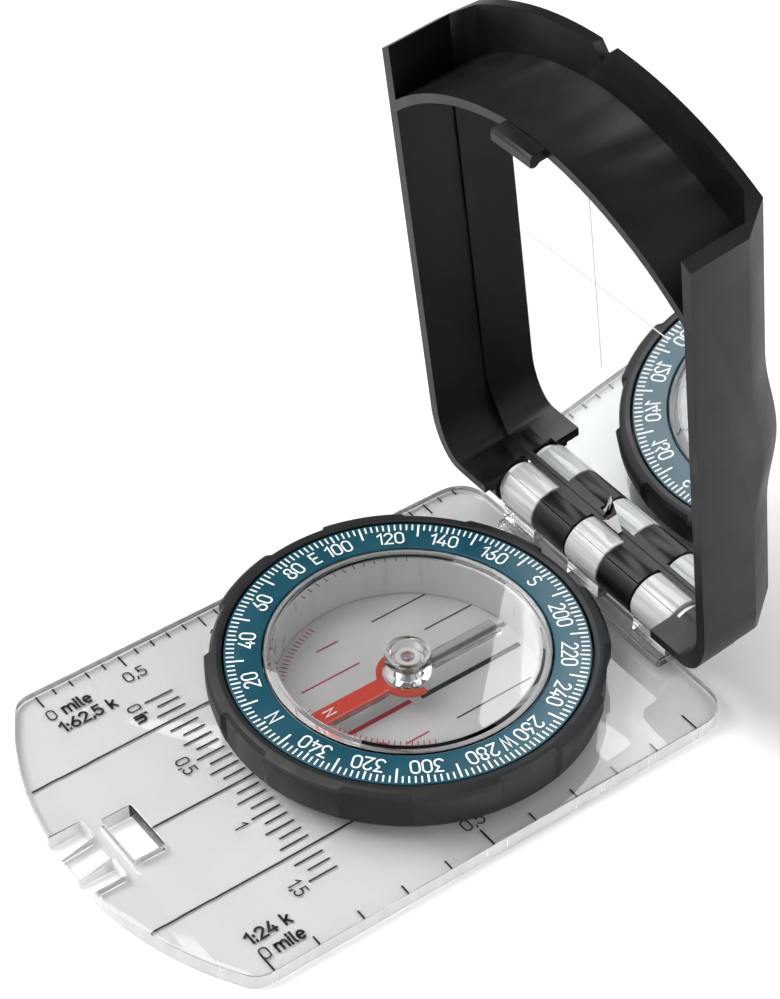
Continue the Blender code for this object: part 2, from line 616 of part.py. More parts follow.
def make_cover(axis, mats):
    far = COVER_LENGTH + 2
    shell_body = loft(outer_sections(cover_stations(0.5, far)))
    shell = add_object("cover_shell", shell_body, mats["cover"], axis, smooth=False)
    plan = guide("cover_plan", prism(cover_outline(), RIM_Z - 1, BACK_Z + GRIP_SWELL + 1), axis)
    boolean(shell, plan, "INTERSECT")
    tray = guide("tray_core", prism(cover_outline(COVER_WALL, -3.0), RIM_Z - 1, BACK_Z + 5), axis)
    core_body = loft(tray_sections(cover_stations(0.5, far)))
    core = guide("tray_roof", core_body, axis)
    boolean(tray, core, "INTERSECT")
    boolean(shell, tray, "DIFFERENCE")
    wall = guide("end_wall", prism(end_wall_outline(), RIM_Z, BACK_Z - COVER_WALL / 3), axis)
    boolean(wall, guide("end_wall_limit", end_wall_limit(), axis), "INTERSECT")
    boolean(shell, wall, "UNION")
    ledge_z = MIRROR_BACK_Z + GAP
    ledge_low = COVER_FOOT + 0.2
    ledge_high = COVER_FOOT + BACK_SLOPE_LENGTH
    x1 = HALF_WIDTH - COVER_WALL - FOOT_CORNER_A * 0.5
    ledge = [[(x, -ledge_low, ledge_z), (x, -ledge_high, ledge_z), (x, -ledge_high, BACK_Z - COVER_WALL / 2),
              (x, -ledge_low, back_height(ledge_low) - 0.4)] for x in (-x1, x1)]
    boolean(shell, guide("mirror_ledge", loft(ledge), axis), "UNION")
    for number, (x0, x1) in enumerate(knuckle_clearances()):
        clear = rod_x(KNUCKLE_R + GAP, x0, x1)
        boolean(shell, guide("knuckle_clearance_%d" % number, clear, axis), "DIFFERENCE")
    opening = box(-OUTER_KNUCKLE_OUT - GAP, OUTER_KNUCKLE_OUT + GAP, -COVER_FOOT - COVER_WALL - 0.2, 1,
                  RIM_Z - 1, -KNUCKLE_R * 0.5)
    boolean(shell, guide("hinge_opening", opening, axis), "DIFFERENCE")
    for label, side in (("left", -1), ("right", 1)):
        inner = min(side * EAR_IN, side * EAR_OUT)
        outer = max(side * EAR_IN, side * EAR_OUT)
        lug = loft([[(x, y, z) for y, z in lug_outline()] for x in (side * EAR_IN, side * LUG_OUT)])
        boolean(shell, guide("ear_lug_" + label, lug, axis), "UNION")
        web = box(inner, outer, -COVER_FOOT - COVER_WALL * 0.8, -0.5, RIM_Z + 1.6, MIRROR_Z - 0.1)
        boolean(shell, guide("ear_web_" + label, web, axis), "UNION")
    for number, (x0, x1) in enumerate(cover_knuckles()):
        knuckle = rod_x(KNUCKLE_R, x0, x1)
        boolean(shell, guide("cover_knuckle_%d" % number, knuckle, axis), "UNION")
        web = box(x0, x1, -COVER_FOOT - COVER_WALL * 0.8, -0.4, 1.2, ledge_z + 0.3)
        boolean(shell, guide("cover_web_%d" % number, web, axis), "UNION")
    pin_half = LUG_OUT - COVER_WALL + GAP
    bore = rod_x(HINGE_PIN_R + GAP, -pin_half, pin_half, 24)
    boolean(shell, guide("cover_bore", bore, axis), "DIFFERENCE")
    tab_tip = -HINGE_Z + GAP
    tab_outer = end_wall_y(TAB_HALF, END_WALL_RECESS) + TAB_SET_BACK
    tab_inner = tab_outer + TAB_THICK
    tab = [[(x, tab_outer, RIM_Z + 1.0), (x, tab_outer, tab_tip + 0.4), (x, tab_outer + 0.4, tab_tip),
            (x, tab_inner + 0.2, tab_tip), (x, tab_inner + TAB_HOOK, tab_tip + 0.5),
            (x, tab_inner + TAB_HOOK, tab_tip + 0.8), (x, tab_inner, tab_tip + 1.4),
            (x, tab_inner, RIM_Z + 1.0)] for x in (-TAB_HALF, TAB_HALF)]
    boolean(shell, guide("latch_tab", loft(tab), axis), "UNION")
    notch_root = -(COVER_LENGTH - NOTCH_DEPTH)
    notch = [(-NOTCH_HALF, -COVER_LENGTH - 1), (NOTCH_HALF, -COVER_LENGTH - 1),
             (NOTCH_HALF * 0.9, -COVER_LENGTH - 0.1), (0, notch_root),
             (-NOTCH_HALF * 0.9, -COVER_LENGTH - 0.1)]
    boolean(shell, guide("sight_notch", prism(notch, PANEL_IN_Z - 1, BACK_Z + 1), axis), "DIFFERENCE")
    boolean(shell, guide("sight_opening", sight_prism(0.0, BACK_Z + 2), axis), "DIFFERENCE")
    return shell


def sight_prism(grow, z_high):
    """V-shaped lower sight opening, open at the cover's lower edge, from the mirror up to z_high."""
    outline = [(-SIGHT_HALF - grow, -1.0), (SIGHT_HALF + grow, -1.0), (0, -(SIGHT_PEAK + grow))]
    return prism(outline, MIRROR_Z - 0.5, z_high)


def mirror_outline(inset, low):
    """Straight sides, chamfered lower corners, and an upper end that follows the end wall."""
    half = HALF_WIDTH - COVER_WALL - inset
    points = [(half - MIRROR_CORNER, -low), (-(half - MIRROR_CORNER), -low),
              (-half, -(low + MIRROR_CORNER * 2))]
    reach = END_WALL_RECESS + END_WALL_THICK + GAP
    row = []
    for i in range(25):
        x = -half + 2 * half * i / 24
        row.append((x, end_wall_y(x, reach)))
    return points + row + [(half, -(low + MIRROR_CORNER * 2))]


def make_mirror(axis, mats):
    low = KNUCKLE_R - MIRROR_TUCK
    glass = prism(mirror_outline(GAP, low), MIRROR_Z, MIRROR_Z + MIRROR_THICK)
    mirror = add_object("mirror_glass", glass, mats["mirror"], axis, smooth=False)
    cut = guide("mirror_sight_cut", sight_prism(GAP, BACK_Z), axis)
    boolean(mirror, cut, "DIFFERENCE")
    pad_low = COVER_FOOT + BACK_SLOPE_LENGTH + GAP
    pad_z = MIRROR_BACK_Z + GAP
    half = HALF_WIDTH - COVER_CHAMFER_X - COVER_WALL - 1.0
    pad_far = -end_wall_y(half, END_WALL_RECESS + END_WALL_THICK) - 1.0
    pad = box(-half, half, -pad_far, -pad_low, pad_z, pad_z + MIRROR_PAD_THICK)
    add_object("mirror_pad", pad, mats["pad"], axis, smooth=False)


# ---------------------------------------------------------------- assembly
def main():
    clear_scene()
    mats = {
        "clear": material("clear_acrylic", (0.86, 0.88, 0.89), 0.05),
        "steel": material("steel", (0.62, 0.63, 0.65), 0.3, 1.0),
        "brass": material("brass", (0.72, 0.55, 0.28), 0.3, 1.0),
        "rubber": material("black_rubber", (0.03, 0.03, 0.03), 0.8),
        "nylon": material("white_nylon", (0.8, 0.8, 0.78), 0.5),
        "grip": material("grip_rubber", (0.03, 0.03, 0.032), 0.55),
        "dial": material("blue_dial", (0.02, 0.11, 0.17), 0.35),
        "floor": material("grey_floor", (0.5, 0.51, 0.5), 0.5),
        "seal": material("seal_rubber", (0.05, 0.05, 0.05), 0.8),
        "red": material("needle_red", (0.7, 0.06, 0.03), 0.4),
        "smoke": material("smoke_plastic", (0.35, 0.35, 0.35), 0.3),
        "jewel": material("jewel", (0.85, 0.8, 0.85), 0.05),
        "cover": material("cover_black", (0.03, 0.03, 0.03), 0.5),
        "mirror": material("mirror_silver", (0.9, 0.9, 0.92), 0.03, 1.0),
        "pad": material("foam_pad", (0.1, 0.1, 0.1), 0.9),
    }
    make_baseplate(mats["clear"])
    make_base_hardware(mats["steel"], mats["rubber"], mats["nylon"])
    dial_axis = axis_empty("dial_axis", (0, 0, 0))
    make_dial(dial_axis, mats)
    needle_axis = axis_empty("needle_axis", (0, 0, 0), parent=dial_axis)
    make_needle(needle_axis, mats)
    cover_turn = (-math.radians(COVER_OPEN_DEG), 0, 0)
    cover_axis = axis_empty("cover_axis", (0, HINGE_Y, HINGE_Z), cover_turn)
    make_cover(cover_axis, mats)
    make_mirror(cover_axis, mats)


main()
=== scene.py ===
# %% [markdown]
# # A sighting compass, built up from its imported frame
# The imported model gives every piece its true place. This script keeps those places and gives each
# piece the surface that a finished compass has: clear acrylic, moulded rubber, printed dials, a
# silvered mirror and a grained black cover. Lengths are written in millimetres and turned to metres
# by MM, because that is how a maker reads a drawing of something this small.

# %% Load the frame
import math

import bmesh
import bpy
from mathutils import Matrix, Vector


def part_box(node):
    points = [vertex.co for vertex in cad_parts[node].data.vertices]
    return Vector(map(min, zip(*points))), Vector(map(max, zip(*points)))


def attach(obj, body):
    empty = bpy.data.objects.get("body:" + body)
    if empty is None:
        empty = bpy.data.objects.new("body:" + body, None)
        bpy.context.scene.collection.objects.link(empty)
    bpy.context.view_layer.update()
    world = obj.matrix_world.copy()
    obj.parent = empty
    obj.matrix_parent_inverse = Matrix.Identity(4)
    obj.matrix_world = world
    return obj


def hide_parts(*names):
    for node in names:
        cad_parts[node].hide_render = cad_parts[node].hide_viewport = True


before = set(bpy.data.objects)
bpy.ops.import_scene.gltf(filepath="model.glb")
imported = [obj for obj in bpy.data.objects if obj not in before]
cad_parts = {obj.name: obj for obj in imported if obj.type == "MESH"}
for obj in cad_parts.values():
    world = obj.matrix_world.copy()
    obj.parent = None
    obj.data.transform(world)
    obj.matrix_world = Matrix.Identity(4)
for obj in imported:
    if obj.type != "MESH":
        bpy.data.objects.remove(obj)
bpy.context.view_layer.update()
MM = 0.001


# %% [markdown]
# ## Small helpers
# A compass is a stack of turned rings, thin prints and a few moulded boxes. A few helpers make
# most of it: one makes a bmesh into a named piece, one turns a profile round the dial's axis, one
# lays a flat block, and one rounds the corners of an outline.

# %% Pieces and placing
def finish_piece(name, bm, mat, body, smooth_deg=35):
    """Millimetre bmesh to a finished piece in metres that rides on a body."""
    bmesh.ops.remove_doubles(bm, verts=bm.verts, dist=1e-4)
    bmesh.ops.recalc_face_normals(bm, faces=bm.faces)
    bmesh.ops.scale(bm, vec=Vector((MM, MM, MM)), verts=bm.verts)
    mesh = bpy.data.meshes.new(name)
    bm.to_mesh(mesh)
    bm.free()
    if smooth_deg:
        mesh.shade_smooth()
        mesh.set_sharp_from_angle(angle=math.radians(smooth_deg))
    return ride_piece(name, mesh, mat, body)


def ride_piece(name, mesh, mat, body):
    """Link a mesh as an object that rides on a body, with the given material if there is one."""
    obj = bpy.data.objects.new(name, mesh)
    bpy.context.scene.collection.objects.link(obj)
    if mat:
        mesh.materials.clear()
        mesh.materials.append(mat)
    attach(obj, body)
    print(name, len(mesh.polygons), "faces on", body)
    return obj


def turn(profile, steps=192, reshape=None, bm=None):
    """Closed (radius, z) profile turned about Z. reshape(r, z, angle) gives back (r, z)."""
    bm = bm or bmesh.new()
    rings = []
    for r, z in profile:
        if r == 0:
            rings.append([bm.verts.new((0, 0, z))] * steps)
            continue
        ring = []
        for i in range(steps):
            angle = 2 * math.pi * i / steps
            rr, zz = reshape(r, z, angle) if reshape else (r, z)
            ring.append(bm.verts.new((rr * math.cos(angle), rr * math.sin(angle), zz)))
        rings.append(ring)
    for k, ring in enumerate(rings):
        following = rings[(k + 1) % len(rings)]
        for i in range(steps):
            j = (i + 1) % steps
            corners = list(dict.fromkeys([ring[i], ring[j], following[j], following[i]]))
            if len(corners) > 2:
                bm.faces.new(corners)
    return bm


def block(bm, x0, x1, y0, y1, z0, z1):
    """Add a box to bm."""
    corners = [bm.verts.new((x, y, z)) for z in (z0, z1) for y in (y0, y1) for x in (x0, x1)]
    for a, b, c, d in ((0, 2, 3, 1), (4, 5, 7, 6), (0, 1, 5, 4), (2, 6, 7, 3), (0, 4, 6, 2), (1, 3, 7, 5)):
        bm.faces.new((corners[a], corners[b], corners[c], corners[d]))
    return bm


def rounded(points, radius, steps=4):
    """Closed outline with each corner cut back and rounded by radius (or by its own radius)."""
    out = []
    count = len(points)
    for i, point in enumerate(points):
        here = Vector(point[:2])
        own = point[2] if len(point) > 2 else radius
        before = Vector(points[i - 1][:2]) - here
        after = Vector(points[(i + 1) % count][:2]) - here
        if own <= 0:
            out.append(tuple(here))
            continue
        half = before.angle(after) / 2
        reach = min(own / math.tan(half), before.length * 0.49, after.length * 0.49)
        a = here + before.normalized() * reach
        b = here + after.normalized() * reach
        for k in range(steps + 1):
            t = k / steps
            out.append(tuple(a * (1 - t) ** 2 + here * 2 * t * (1 - t) + b * t ** 2))
    return out


# %% [markdown]
# ## Colours and shader nodes
# Paint and plastic colours are quoted as sRGB hex. Cycles works in linear light, so one function
# converts them. A second one adds a shader node together with its settings and its links.

# %% Colour and node helpers
def colour(hex_code):
    values = [int(hex_code[i:i + 2], 16) / 255 for i in (1, 3, 5)]
    linear = [v / 12.92 if v <= 0.04045 else ((v + 0.055) / 1.055) ** 2.4 for v in values]
    return (*linear, 1.0)


def put(tree, kind, inputs=None, **settings):
    """Add a node, set its properties, and fill its sockets with values or links."""
    node = tree.nodes.new(kind)
    for key, value in settings.items():
        setattr(node, key, value)
    for key, value in (inputs or {}).items():
        if isinstance(value, bpy.types.NodeSocket):
            tree.links.new(value, node.inputs[key])
        else:
            node.inputs[key].default_value = value
    return node


def finish_material(name, base, roughness, **sockets):
    """New material with a Principled shader. Returns (material, tree, shader)."""
    mat = bpy.data.materials.new(name)
    mat.use_nodes = True
    tree = mat.node_tree
    shader = tree.nodes["Principled BSDF"]
    shader.inputs["Base Color"].default_value = colour(base)
    shader.inputs["Roughness"].default_value = roughness
    for key, value in sockets.items():
        shader.inputs[key.replace("_", " ")].default_value = value
    mat.diffuse_color = colour(base)
    return mat, tree, shader


def per_mm(size_mm):
    """Texture scale for a pattern whose features are size_mm across."""
    return 1 / (size_mm * MM)


def mottled(tree, shader, size_mm, low, high, detail=3.0, stretch=(1, 1, 1)):
    """Noise that varies the base colour between two hex colours."""
    place = put(tree, "ShaderNodeTexCoord")
    spread = put(tree, "ShaderNodeMapping", {"Vector": place.outputs["Object"], "Scale": stretch})
    noise = put(tree, "ShaderNodeTexNoise", {"Vector": spread.outputs[0], "Scale": per_mm(size_mm),
                                             "Detail": detail, "Roughness": 0.55})
    mix = put(tree, "ShaderNodeMix", {0: noise.outputs[0], 6: colour(low), 7: colour(high)}, data_type="RGBA")
    tree.links.new(mix.outputs[2], shader.inputs["Base Color"])
    return spread, noise


def worn(tree, shader, source, low, high):
    """Noise output that varies the roughness between low and high."""
    spread = put(tree, "ShaderNodeMapRange", {"Value": source, "From Min": 0.3, "From Max": 0.7,
                                              "To Min": low, "To Max": high})
    tree.links.new(spread.outputs[0], shader.inputs["Roughness"])


def grained(tree, shader, place, size_mm, depth_mm, strength=1.0, detail=2.0):
    """Fine moulded grain as a bump."""
    grain = put(tree, "ShaderNodeTexNoise", {"Vector": place, "Scale": per_mm(size_mm), "Detail": detail,
                                             "Roughness": 0.6})
    bump = put(tree, "ShaderNodeBump", {"Height": grain.outputs[0], "Distance": depth_mm * MM,
                                        "Strength": strength})
    tree.links.new(bump.outputs[0], shader.inputs["Normal"])
    return grain


# %% [markdown]
# ## Finishes
# Polished acrylic (PMMA) carries the plate and the capsule: index 1.49, colourless, with a faint
# haze of handling marks. The dial and the cover are ABS, printed and spark-eroded. The grip ring is
# a thermoplastic rubber, which is darker and softer in its highlights than ABS.

# %% Clear acrylic
def clear_acrylic(name, base, haze_low, haze_high):
    mat, tree, shader = finish_material(name, base, haze_low, IOR=1.49, Transmission_Weight=1.0)
    place = put(tree, "ShaderNodeTexCoord")
    marks = put(tree, "ShaderNodeTexNoise", {"Vector": place.outputs["Object"], "Scale": per_mm(9.0),
                                             "Detail": 4.0, "Roughness": 0.6})
    worn(tree, shader, marks.outputs[0], haze_low, haze_high)
    return mat


ACRYLIC = clear_acrylic("polished_acrylic", "#fdfdfd", 0.01, 0.05)
HUB_ACRYLIC = clear_acrylic("hub_acrylic", "#f2f5f6", 0.02, 0.06)
# The knuckles' lengthwise grey and white streaks are painted reflections: noise stretched along the rod sets
# them in the base colour.
KNUCKLE_ACRYLIC, tree, shader = finish_material("knuckle_acrylic_painted_streaks", "#ffffff", 0.08, IOR=1.49,
                                                Transmission_Weight=0.3)
spread, noise = mottled(tree, shader, 0.55, "#a4a6a7", "#ffffff", 2.0, (0.03, 1, 1))
worn(tree, shader, noise.outputs[0], 0.05, 0.16)
grained(tree, shader, spread.outputs[0], 0.7, 0.05, 0.5)
EDGE_ACRYLIC, tree, shader = finish_material("satin_acrylic_edge", "#f3f4f4", 0.22, IOR=1.49,
                                             Transmission_Weight=0.35)
_, noise = mottled(tree, shader, 2.0, "#d9dbdb", "#ffffff", 3.0, (1, 1, 0.15))
worn(tree, shader, noise.outputs[0], 0.14, 0.3)
# Painted light: a pale grey colour for the ring that stands in for the light scattered inside the capsule
# wall.
SCATTER_LIGHT_PAINT, tree, shader = finish_material("capsule_painted_scatter_light", "#dfe1e0", 0.3)
_, noise = mottled(tree, shader, 2.5, "#d2d5d4", "#eceeed", stretch=(1, 1, 0.2))
worn(tree, shader, noise.outputs[0], 0.25, 0.4)
print("acrylic ready")

# %% Rubber, printed ABS and inks
RUBBER, tree, shader = finish_material("moulded_rubber", "#121314", 0.5, Specular_IOR_Level=0.36)
spread, noise = mottled(tree, shader, 3.0, "#0f1011", "#19191b")
worn(tree, shader, noise.outputs[0], 0.42, 0.58)
grained(tree, shader, spread.outputs[0], 0.22, 0.02, 0.35)

BLUE, tree, shader = finish_material("printed_blue_abs", "#0e4253", 0.3, Specular_IOR_Level=0.42)
_, noise = mottled(tree, shader, 6.0, "#0b3a4a", "#14505f")
worn(tree, shader, noise.outputs[0], 0.28, 0.4)

WHITE_INK, tree, shader = finish_material("white_pad_print", "#f1f5f5", 0.4)
mottled(tree, shader, 0.8, "#e6ecec", "#fbfdfd")
BLACK_INK, tree, shader = finish_material("black_screen_print", "#121214", 0.45)
mottled(tree, shader, 0.8, "#0e0e10", "#1c1c1f")
RED_INK, tree, shader = finish_material("red_screen_print", "#b3243a", 0.45)
mottled(tree, shader, 0.8, "#a81f35", "#c03048")

FLOOR_PLASTIC, tree, shader = finish_material("capsule_floor_plastic", "#d0d0cf", 0.4)
_, noise = mottled(tree, shader, 5.0, "#c8c8c7", "#dadad9")
worn(tree, shader, noise.outputs[0], 0.3, 0.5)
RED_LACQUER, tree, shader = finish_material("red_needle_lacquer", "#d63a26", 0.3, Coat_Weight=0.6,
                                            Coat_Roughness=0.08)
spread, _ = mottled(tree, shader, 1.5, "#cf3322", "#e04a33")
grained(tree, shader, spread.outputs[0], 0.5, 0.01, 0.3)
SMOKE, tree, shader = finish_material("smoke_needle_plastic", "#dfe0e2", 0.12, IOR=1.49,
                                       Transmission_Weight=0.92)
mottled(tree, shader, 1.5, "#d4d6d8", "#eaebec")
print("rubber, ABS and inks ready")

# %% Cover plastic, mirror and metals
COVER, tree, shader = finish_material("grained_black_abs", "#080809", 0.4, Specular_IOR_Level=0.32)
spread, noise = mottled(tree, shader, 8.0, "#050506", "#0c0c0d")
worn(tree, shader, noise.outputs[0], 0.36, 0.48)
grained(tree, shader, spread.outputs[0], 0.3, 0.012, 0.35)

MIRROR, tree, shader = finish_material("silvered_mirror", "#eef1f2", 0.015, Metallic=1.0)
_, noise = mottled(tree, shader, 12.0, "#e9edee", "#f5f7f8")
worn(tree, shader, noise.outputs[0], 0.008, 0.03)

STEEL, tree, shader = finish_material("turned_steel", "#b9bbbe", 0.25, Metallic=1.0)
_, noise = mottled(tree, shader, 1.2, "#aeb0b3", "#c6c8cb", stretch=(0.05, 1, 1))
worn(tree, shader, noise.outputs[0], 0.2, 0.32)
BRASS, tree, shader = finish_material("turned_brass", "#c9a255", 0.25, Metallic=1.0)
_, noise = mottled(tree, shader, 1.0, "#bd9549", "#d5af64")
worn(tree, shader, noise.outputs[0], 0.2, 0.34)
NYLON, tree, shader = finish_material("natural_nylon", "#e6e5df", 0.45)
_, noise = mottled(tree, shader, 1.5, "#dcdbd4", "#efeee9")
worn(tree, shader, noise.outputs[0], 0.38, 0.5)
SEAL, tree, shader = finish_material("clear_silicone", "#b4b8b8", 0.4)
spread, _ = mottled(tree, shader, 1.0, "#a9adad", "#c2c5c5")
grained(tree, shader, spread.outputs[0], 0.15, 0.01, 0.4)
FOAM, tree, shader = finish_material("foam_pad", "#2c2c2e", 0.9)
spread, _ = mottled(tree, shader, 0.6, "#202022", "#3a3a3c")
grained(tree, shader, spread.outputs[0], 0.4, 0.1, 0.8)
JEWEL, tree, shader = finish_material("polished_jewel", "#d9b9c4", 0.03, IOR=1.76, Transmission_Weight=0.8)
mottled(tree, shader, 0.5, "#d3b0bc", "#e2c8d0")
ETCH, tree, shader = finish_material("etched_mirror_line", "#f0f1f1", 0.5)
mottled(tree, shader, 0.8, "#e9eaea", "#f6f7f7")
print("cover, mirror and metals ready")

# %% [markdown]
# ## Camera, floor and light
# A compass is read from above and in front, so the camera stands to the front right and looks down
# at about forty degrees through a long lens. The studio is a pale floor under soft white light. The
# sky is dark on the far side, so that the flat tops mirror shade and keep their deep colours.

# %% Camera
CAMERA_AT = (201.90, -147.95, 258.76)
CAMERA_RIGHT = (0.590055, 0.807322, -0.008125)
CAMERA_UP = (-0.533800, 0.397654, 0.746277)
CAMERA_BACK = (0.605717, -0.436007, 0.665586)
FOCAL_MM = 96.78
camera_data = bpy.data.cameras.new("camera")
camera_data.sensor_fit = "AUTO"
camera_data.sensor_width = 36.0
camera_data.lens = FOCAL_MM
camera_data.clip_start = 0.01
camera_data.clip_end = 10.0
camera = bpy.data.objects.new("camera", camera_data)
bpy.context.scene.collection.objects.link(camera)
turned = Matrix((CAMERA_RIGHT, CAMERA_UP, CAMERA_BACK)).transposed().to_4x4()
camera.matrix_world = Matrix.Translation(Vector(CAMERA_AT) * MM) @ turned
bpy.context.scene.camera = camera
bpy.context.scene.view_settings.view_transform = "Standard"
print("camera at", CAMERA_AT)

# %% Floor and lights
FLOOR_DROP = 0.05
floor_bm = bmesh.new()
bmesh.ops.create_grid(floor_bm, x_segments=8, y_segments=8, size=3.0)
floor_mesh = bpy.data.meshes.new("studio_floor")
floor_bm.to_mesh(floor_mesh)
floor_bm.free()
floor = bpy.data.objects.new("studio_floor", floor_mesh)
floor.location = (0, 0, -FLOOR_DROP * MM)
bpy.context.scene.collection.objects.link(floor)
PAPER, tree, shader = finish_material("studio_paper", "#f7f7f7", 0.9)
mottled(tree, shader, 60.0, "#f6f6f6", "#f9f9f9")
floor_mesh.materials.append(PAPER)

world = bpy.data.worlds.new("studio_world")
world.use_nodes = True
DARK_SIDE = (-0.606, 0.436, 0.666)
sky = world.node_tree
background = sky.nodes["Background"]
background.inputs["Color"].default_value = (1, 1, 1, 1)
facing = put(sky, "ShaderNodeVectorMath", {0: put(sky, "ShaderNodeTexCoord").outputs["Generated"],
                                           1: DARK_SIDE}, operation="DOT_PRODUCT")
shade = put(sky, "ShaderNodeMapRange", {"Value": facing.outputs["Value"], "From Min": 0.1, "From Max": 0.8,
                                        "To Min": 1.0, "To Max": 0.12})
sky.links.new(shade.outputs[0], background.inputs["Strength"])
bpy.context.scene.world = world


def softbox(name, at, look_at, width, height, watts):
    data = bpy.data.lights.new(name, "AREA")
    data.shape = "RECTANGLE"
    data.size = width
    data.size_y = height
    data.energy = watts
    lamp = bpy.data.objects.new(name, data)
    bpy.context.scene.collection.objects.link(lamp)
    lamp.location = at
    aim = Vector(look_at) - Vector(at)
    lamp.rotation_euler = aim.to_track_quat("-Z", "Y").to_euler()
    return lamp


softbox("key_light", (-0.35, -0.25, 0.60), (0, 0, 0.02), 0.6, 0.6, 6.5)
softbox("fill_light", (0.55, 0.35, 0.35), (0, 0, 0.03), 0.4, 0.5, 1.6)
print("floor and lights placed")

# %% [markdown]
# ## Geometry Nodes for ticks
# Every scale on a compass is the same mark repeated at a fixed step. Two small trees do it: one
# steps round a circle and one steps along a line. Each takes its sizes by name, and each can leave
# out every n-th mark so that a longer mark can take its place.

# %% Tick trees
FIRST_ONLY = 1e6     # as "Leave out every", this leaves out mark 0 and no other


def tree_with_sizes(name, sizes):
    tree = bpy.data.node_groups.new(name, "GeometryNodeTree")
    tree.interface.new_socket("Geometry", in_out="OUTPUT", socket_type="NodeSocketGeometry")
    for label, kind, value in sizes:
        socket = tree.interface.new_socket(label, in_out="INPUT", socket_type="NodeSocket" + kind)
        if value is not None:
            socket.default_value = value
    return tree, tree.nodes.new("NodeGroupInput"), tree.nodes.new("NodeGroupOutput")


def maths(tree, operation, a, b=0.0):
    return put(tree, "ShaderNodeMath", {0: a, 1: b}, operation=operation).outputs[0]


def marks_on_points(tree, given, placed, turning, size):
    """Leave out every n-th point, set a block on each other one, and make the result one mesh."""
    index = tree.nodes.new("GeometryNodeInputIndex").outputs[0]
    remainder = maths(tree, "MODULO", index, given.outputs["Leave out every"])
    dropped = maths(tree, "LESS_THAN", remainder, 0.5)
    kept = put(tree, "GeometryNodeDeleteGeometry", {"Geometry": placed, "Selection": dropped}, domain="POINT")
    mark = put(tree, "GeometryNodeMeshCube", {"Size": size})
    marks = put(tree, "GeometryNodeInstanceOnPoints", {"Points": kept.outputs[0],
                                                       "Instance": mark.outputs[0]})
    if turning:
        tree.links.new(turning, marks.inputs["Rotation"])
    real = put(tree, "GeometryNodeRealizeInstances", {0: marks.outputs[0]})
    return put(tree, "GeometryNodeSetMaterial", {"Geometry": real.outputs[0],
                                                 "Material": given.outputs["Ink"]}).outputs[0]


def ring_of_marks_tree():
    """Marks number 1, 2, 3 ... round the dial, clockwise from the north mark."""
    tree, given, result = tree_with_sizes("ring_of_marks", [
        ("Count", "Int", 36), ("Step", "Float", 0.1), ("Start", "Float", 0.0),
        ("Outer radius", "Float", 0.02), ("Length", "Float", 0.001), ("Width", "Float", 0.0002),
        ("Thickness", "Float", 0.0001), ("Height", "Float", 0.0), ("Leave out every", "Float", FIRST_ONLY),
        ("Ink", "Material", None)])
    points = put(tree, "GeometryNodePoints", {"Count": given.outputs["Count"]})
    index = tree.nodes.new("GeometryNodeInputIndex").outputs[0]
    angle = maths(tree, "ADD", maths(tree, "MULTIPLY", index, given.outputs["Step"]), given.outputs["Start"])
    middle = maths(tree, "SUBTRACT", given.outputs["Outer radius"],
                   maths(tree, "MULTIPLY", given.outputs["Length"], 0.5))
    x = maths(tree, "MULTIPLY", maths(tree, "SINE", angle), maths(tree, "MULTIPLY", middle, -1.0))
    y = maths(tree, "MULTIPLY", maths(tree, "COSINE", angle), maths(tree, "MULTIPLY", middle, -1.0))
    spot = put(tree, "ShaderNodeCombineXYZ", {0: x, 1: y, 2: given.outputs["Height"]})
    placed = put(tree, "GeometryNodeSetPosition", {"Geometry": points.outputs[0],
                                                   "Position": spot.outputs[0]})
    flat = put(tree, "ShaderNodeVectorMath", {0: tree.nodes.new("GeometryNodeInputPosition").outputs[0],
                                              1: (1, 1, 0)}, operation="MULTIPLY")
    turning = put(tree, "FunctionNodeAlignRotationToVector", {"Vector": flat.outputs[0]}, axis="Y",
                  pivot_axis="Z")
    size = put(tree, "ShaderNodeCombineXYZ", {0: given.outputs["Width"], 1: given.outputs["Length"],
                                              2: given.outputs["Thickness"]})
    marks = marks_on_points(tree, given, placed.outputs[0], turning.outputs[0], size.outputs[0])
    tree.links.new(marks, result.inputs[0])
    return tree


def row_of_marks_tree():
    """Marks along a straight line, each one pace from the last."""
    tree, given, result = tree_with_sizes("row_of_marks", [
        ("Count", "Int", 10), ("First", "Vector", (0, 0, 0)), ("Pace", "Vector", (0.001, 0, 0)),
        ("Size", "Vector", (0.001, 0.001, 0.001)), ("Leave out every", "Float", FIRST_ONLY),
        ("Ink", "Material", None)])
    points = put(tree, "GeometryNodePoints", {"Count": given.outputs["Count"]})
    index = tree.nodes.new("GeometryNodeInputIndex").outputs[0]
    along = put(tree, "ShaderNodeVectorMath", {0: given.outputs["Pace"]}, operation="SCALE")
    tree.links.new(index, along.inputs["Scale"])
    spot = put(tree, "ShaderNodeVectorMath", {0: along.outputs[0], 1: given.outputs["First"]},
               operation="ADD")
    placed = put(tree, "GeometryNodeSetPosition", {"Geometry": points.outputs[0],
                                                   "Position": spot.outputs[0]})
    marks = marks_on_points(tree, given, placed.outputs[0], None, given.outputs["Size"])
    tree.links.new(marks, result.inputs[0])
    return tree


RING_TREE = ring_of_marks_tree()
ROW_TREE = row_of_marks_tree()


def grow(tree, ink, **sizes):
    """Run a tick tree with these sizes and return its marks as a plain mesh in metres."""
    carrier = bpy.data.objects.new("marks", bpy.data.meshes.new("marks"))
    bpy.context.scene.collection.objects.link(carrier)
    modifier = carrier.modifiers.new("marks", "NODES")
    modifier.node_group = tree
    wanted = {key.replace("_", " ").lower(): value for key, value in sizes.items()}
    wanted["ink"] = ink
    for item in tree.interface.items_tree:
        if item.item_type == "SOCKET" and item.in_out == "INPUT" and item.name.lower() in wanted:
            modifier[item.identifier] = wanted[item.name.lower()]
    graph = bpy.context.evaluated_depsgraph_get()
    graph.update()
    mesh = bpy.data.meshes.new_from_object(carrier.evaluated_get(graph))
    carrier.modifiers.remove(modifier)
    bpy.data.objects.remove(carrier)
    return mesh


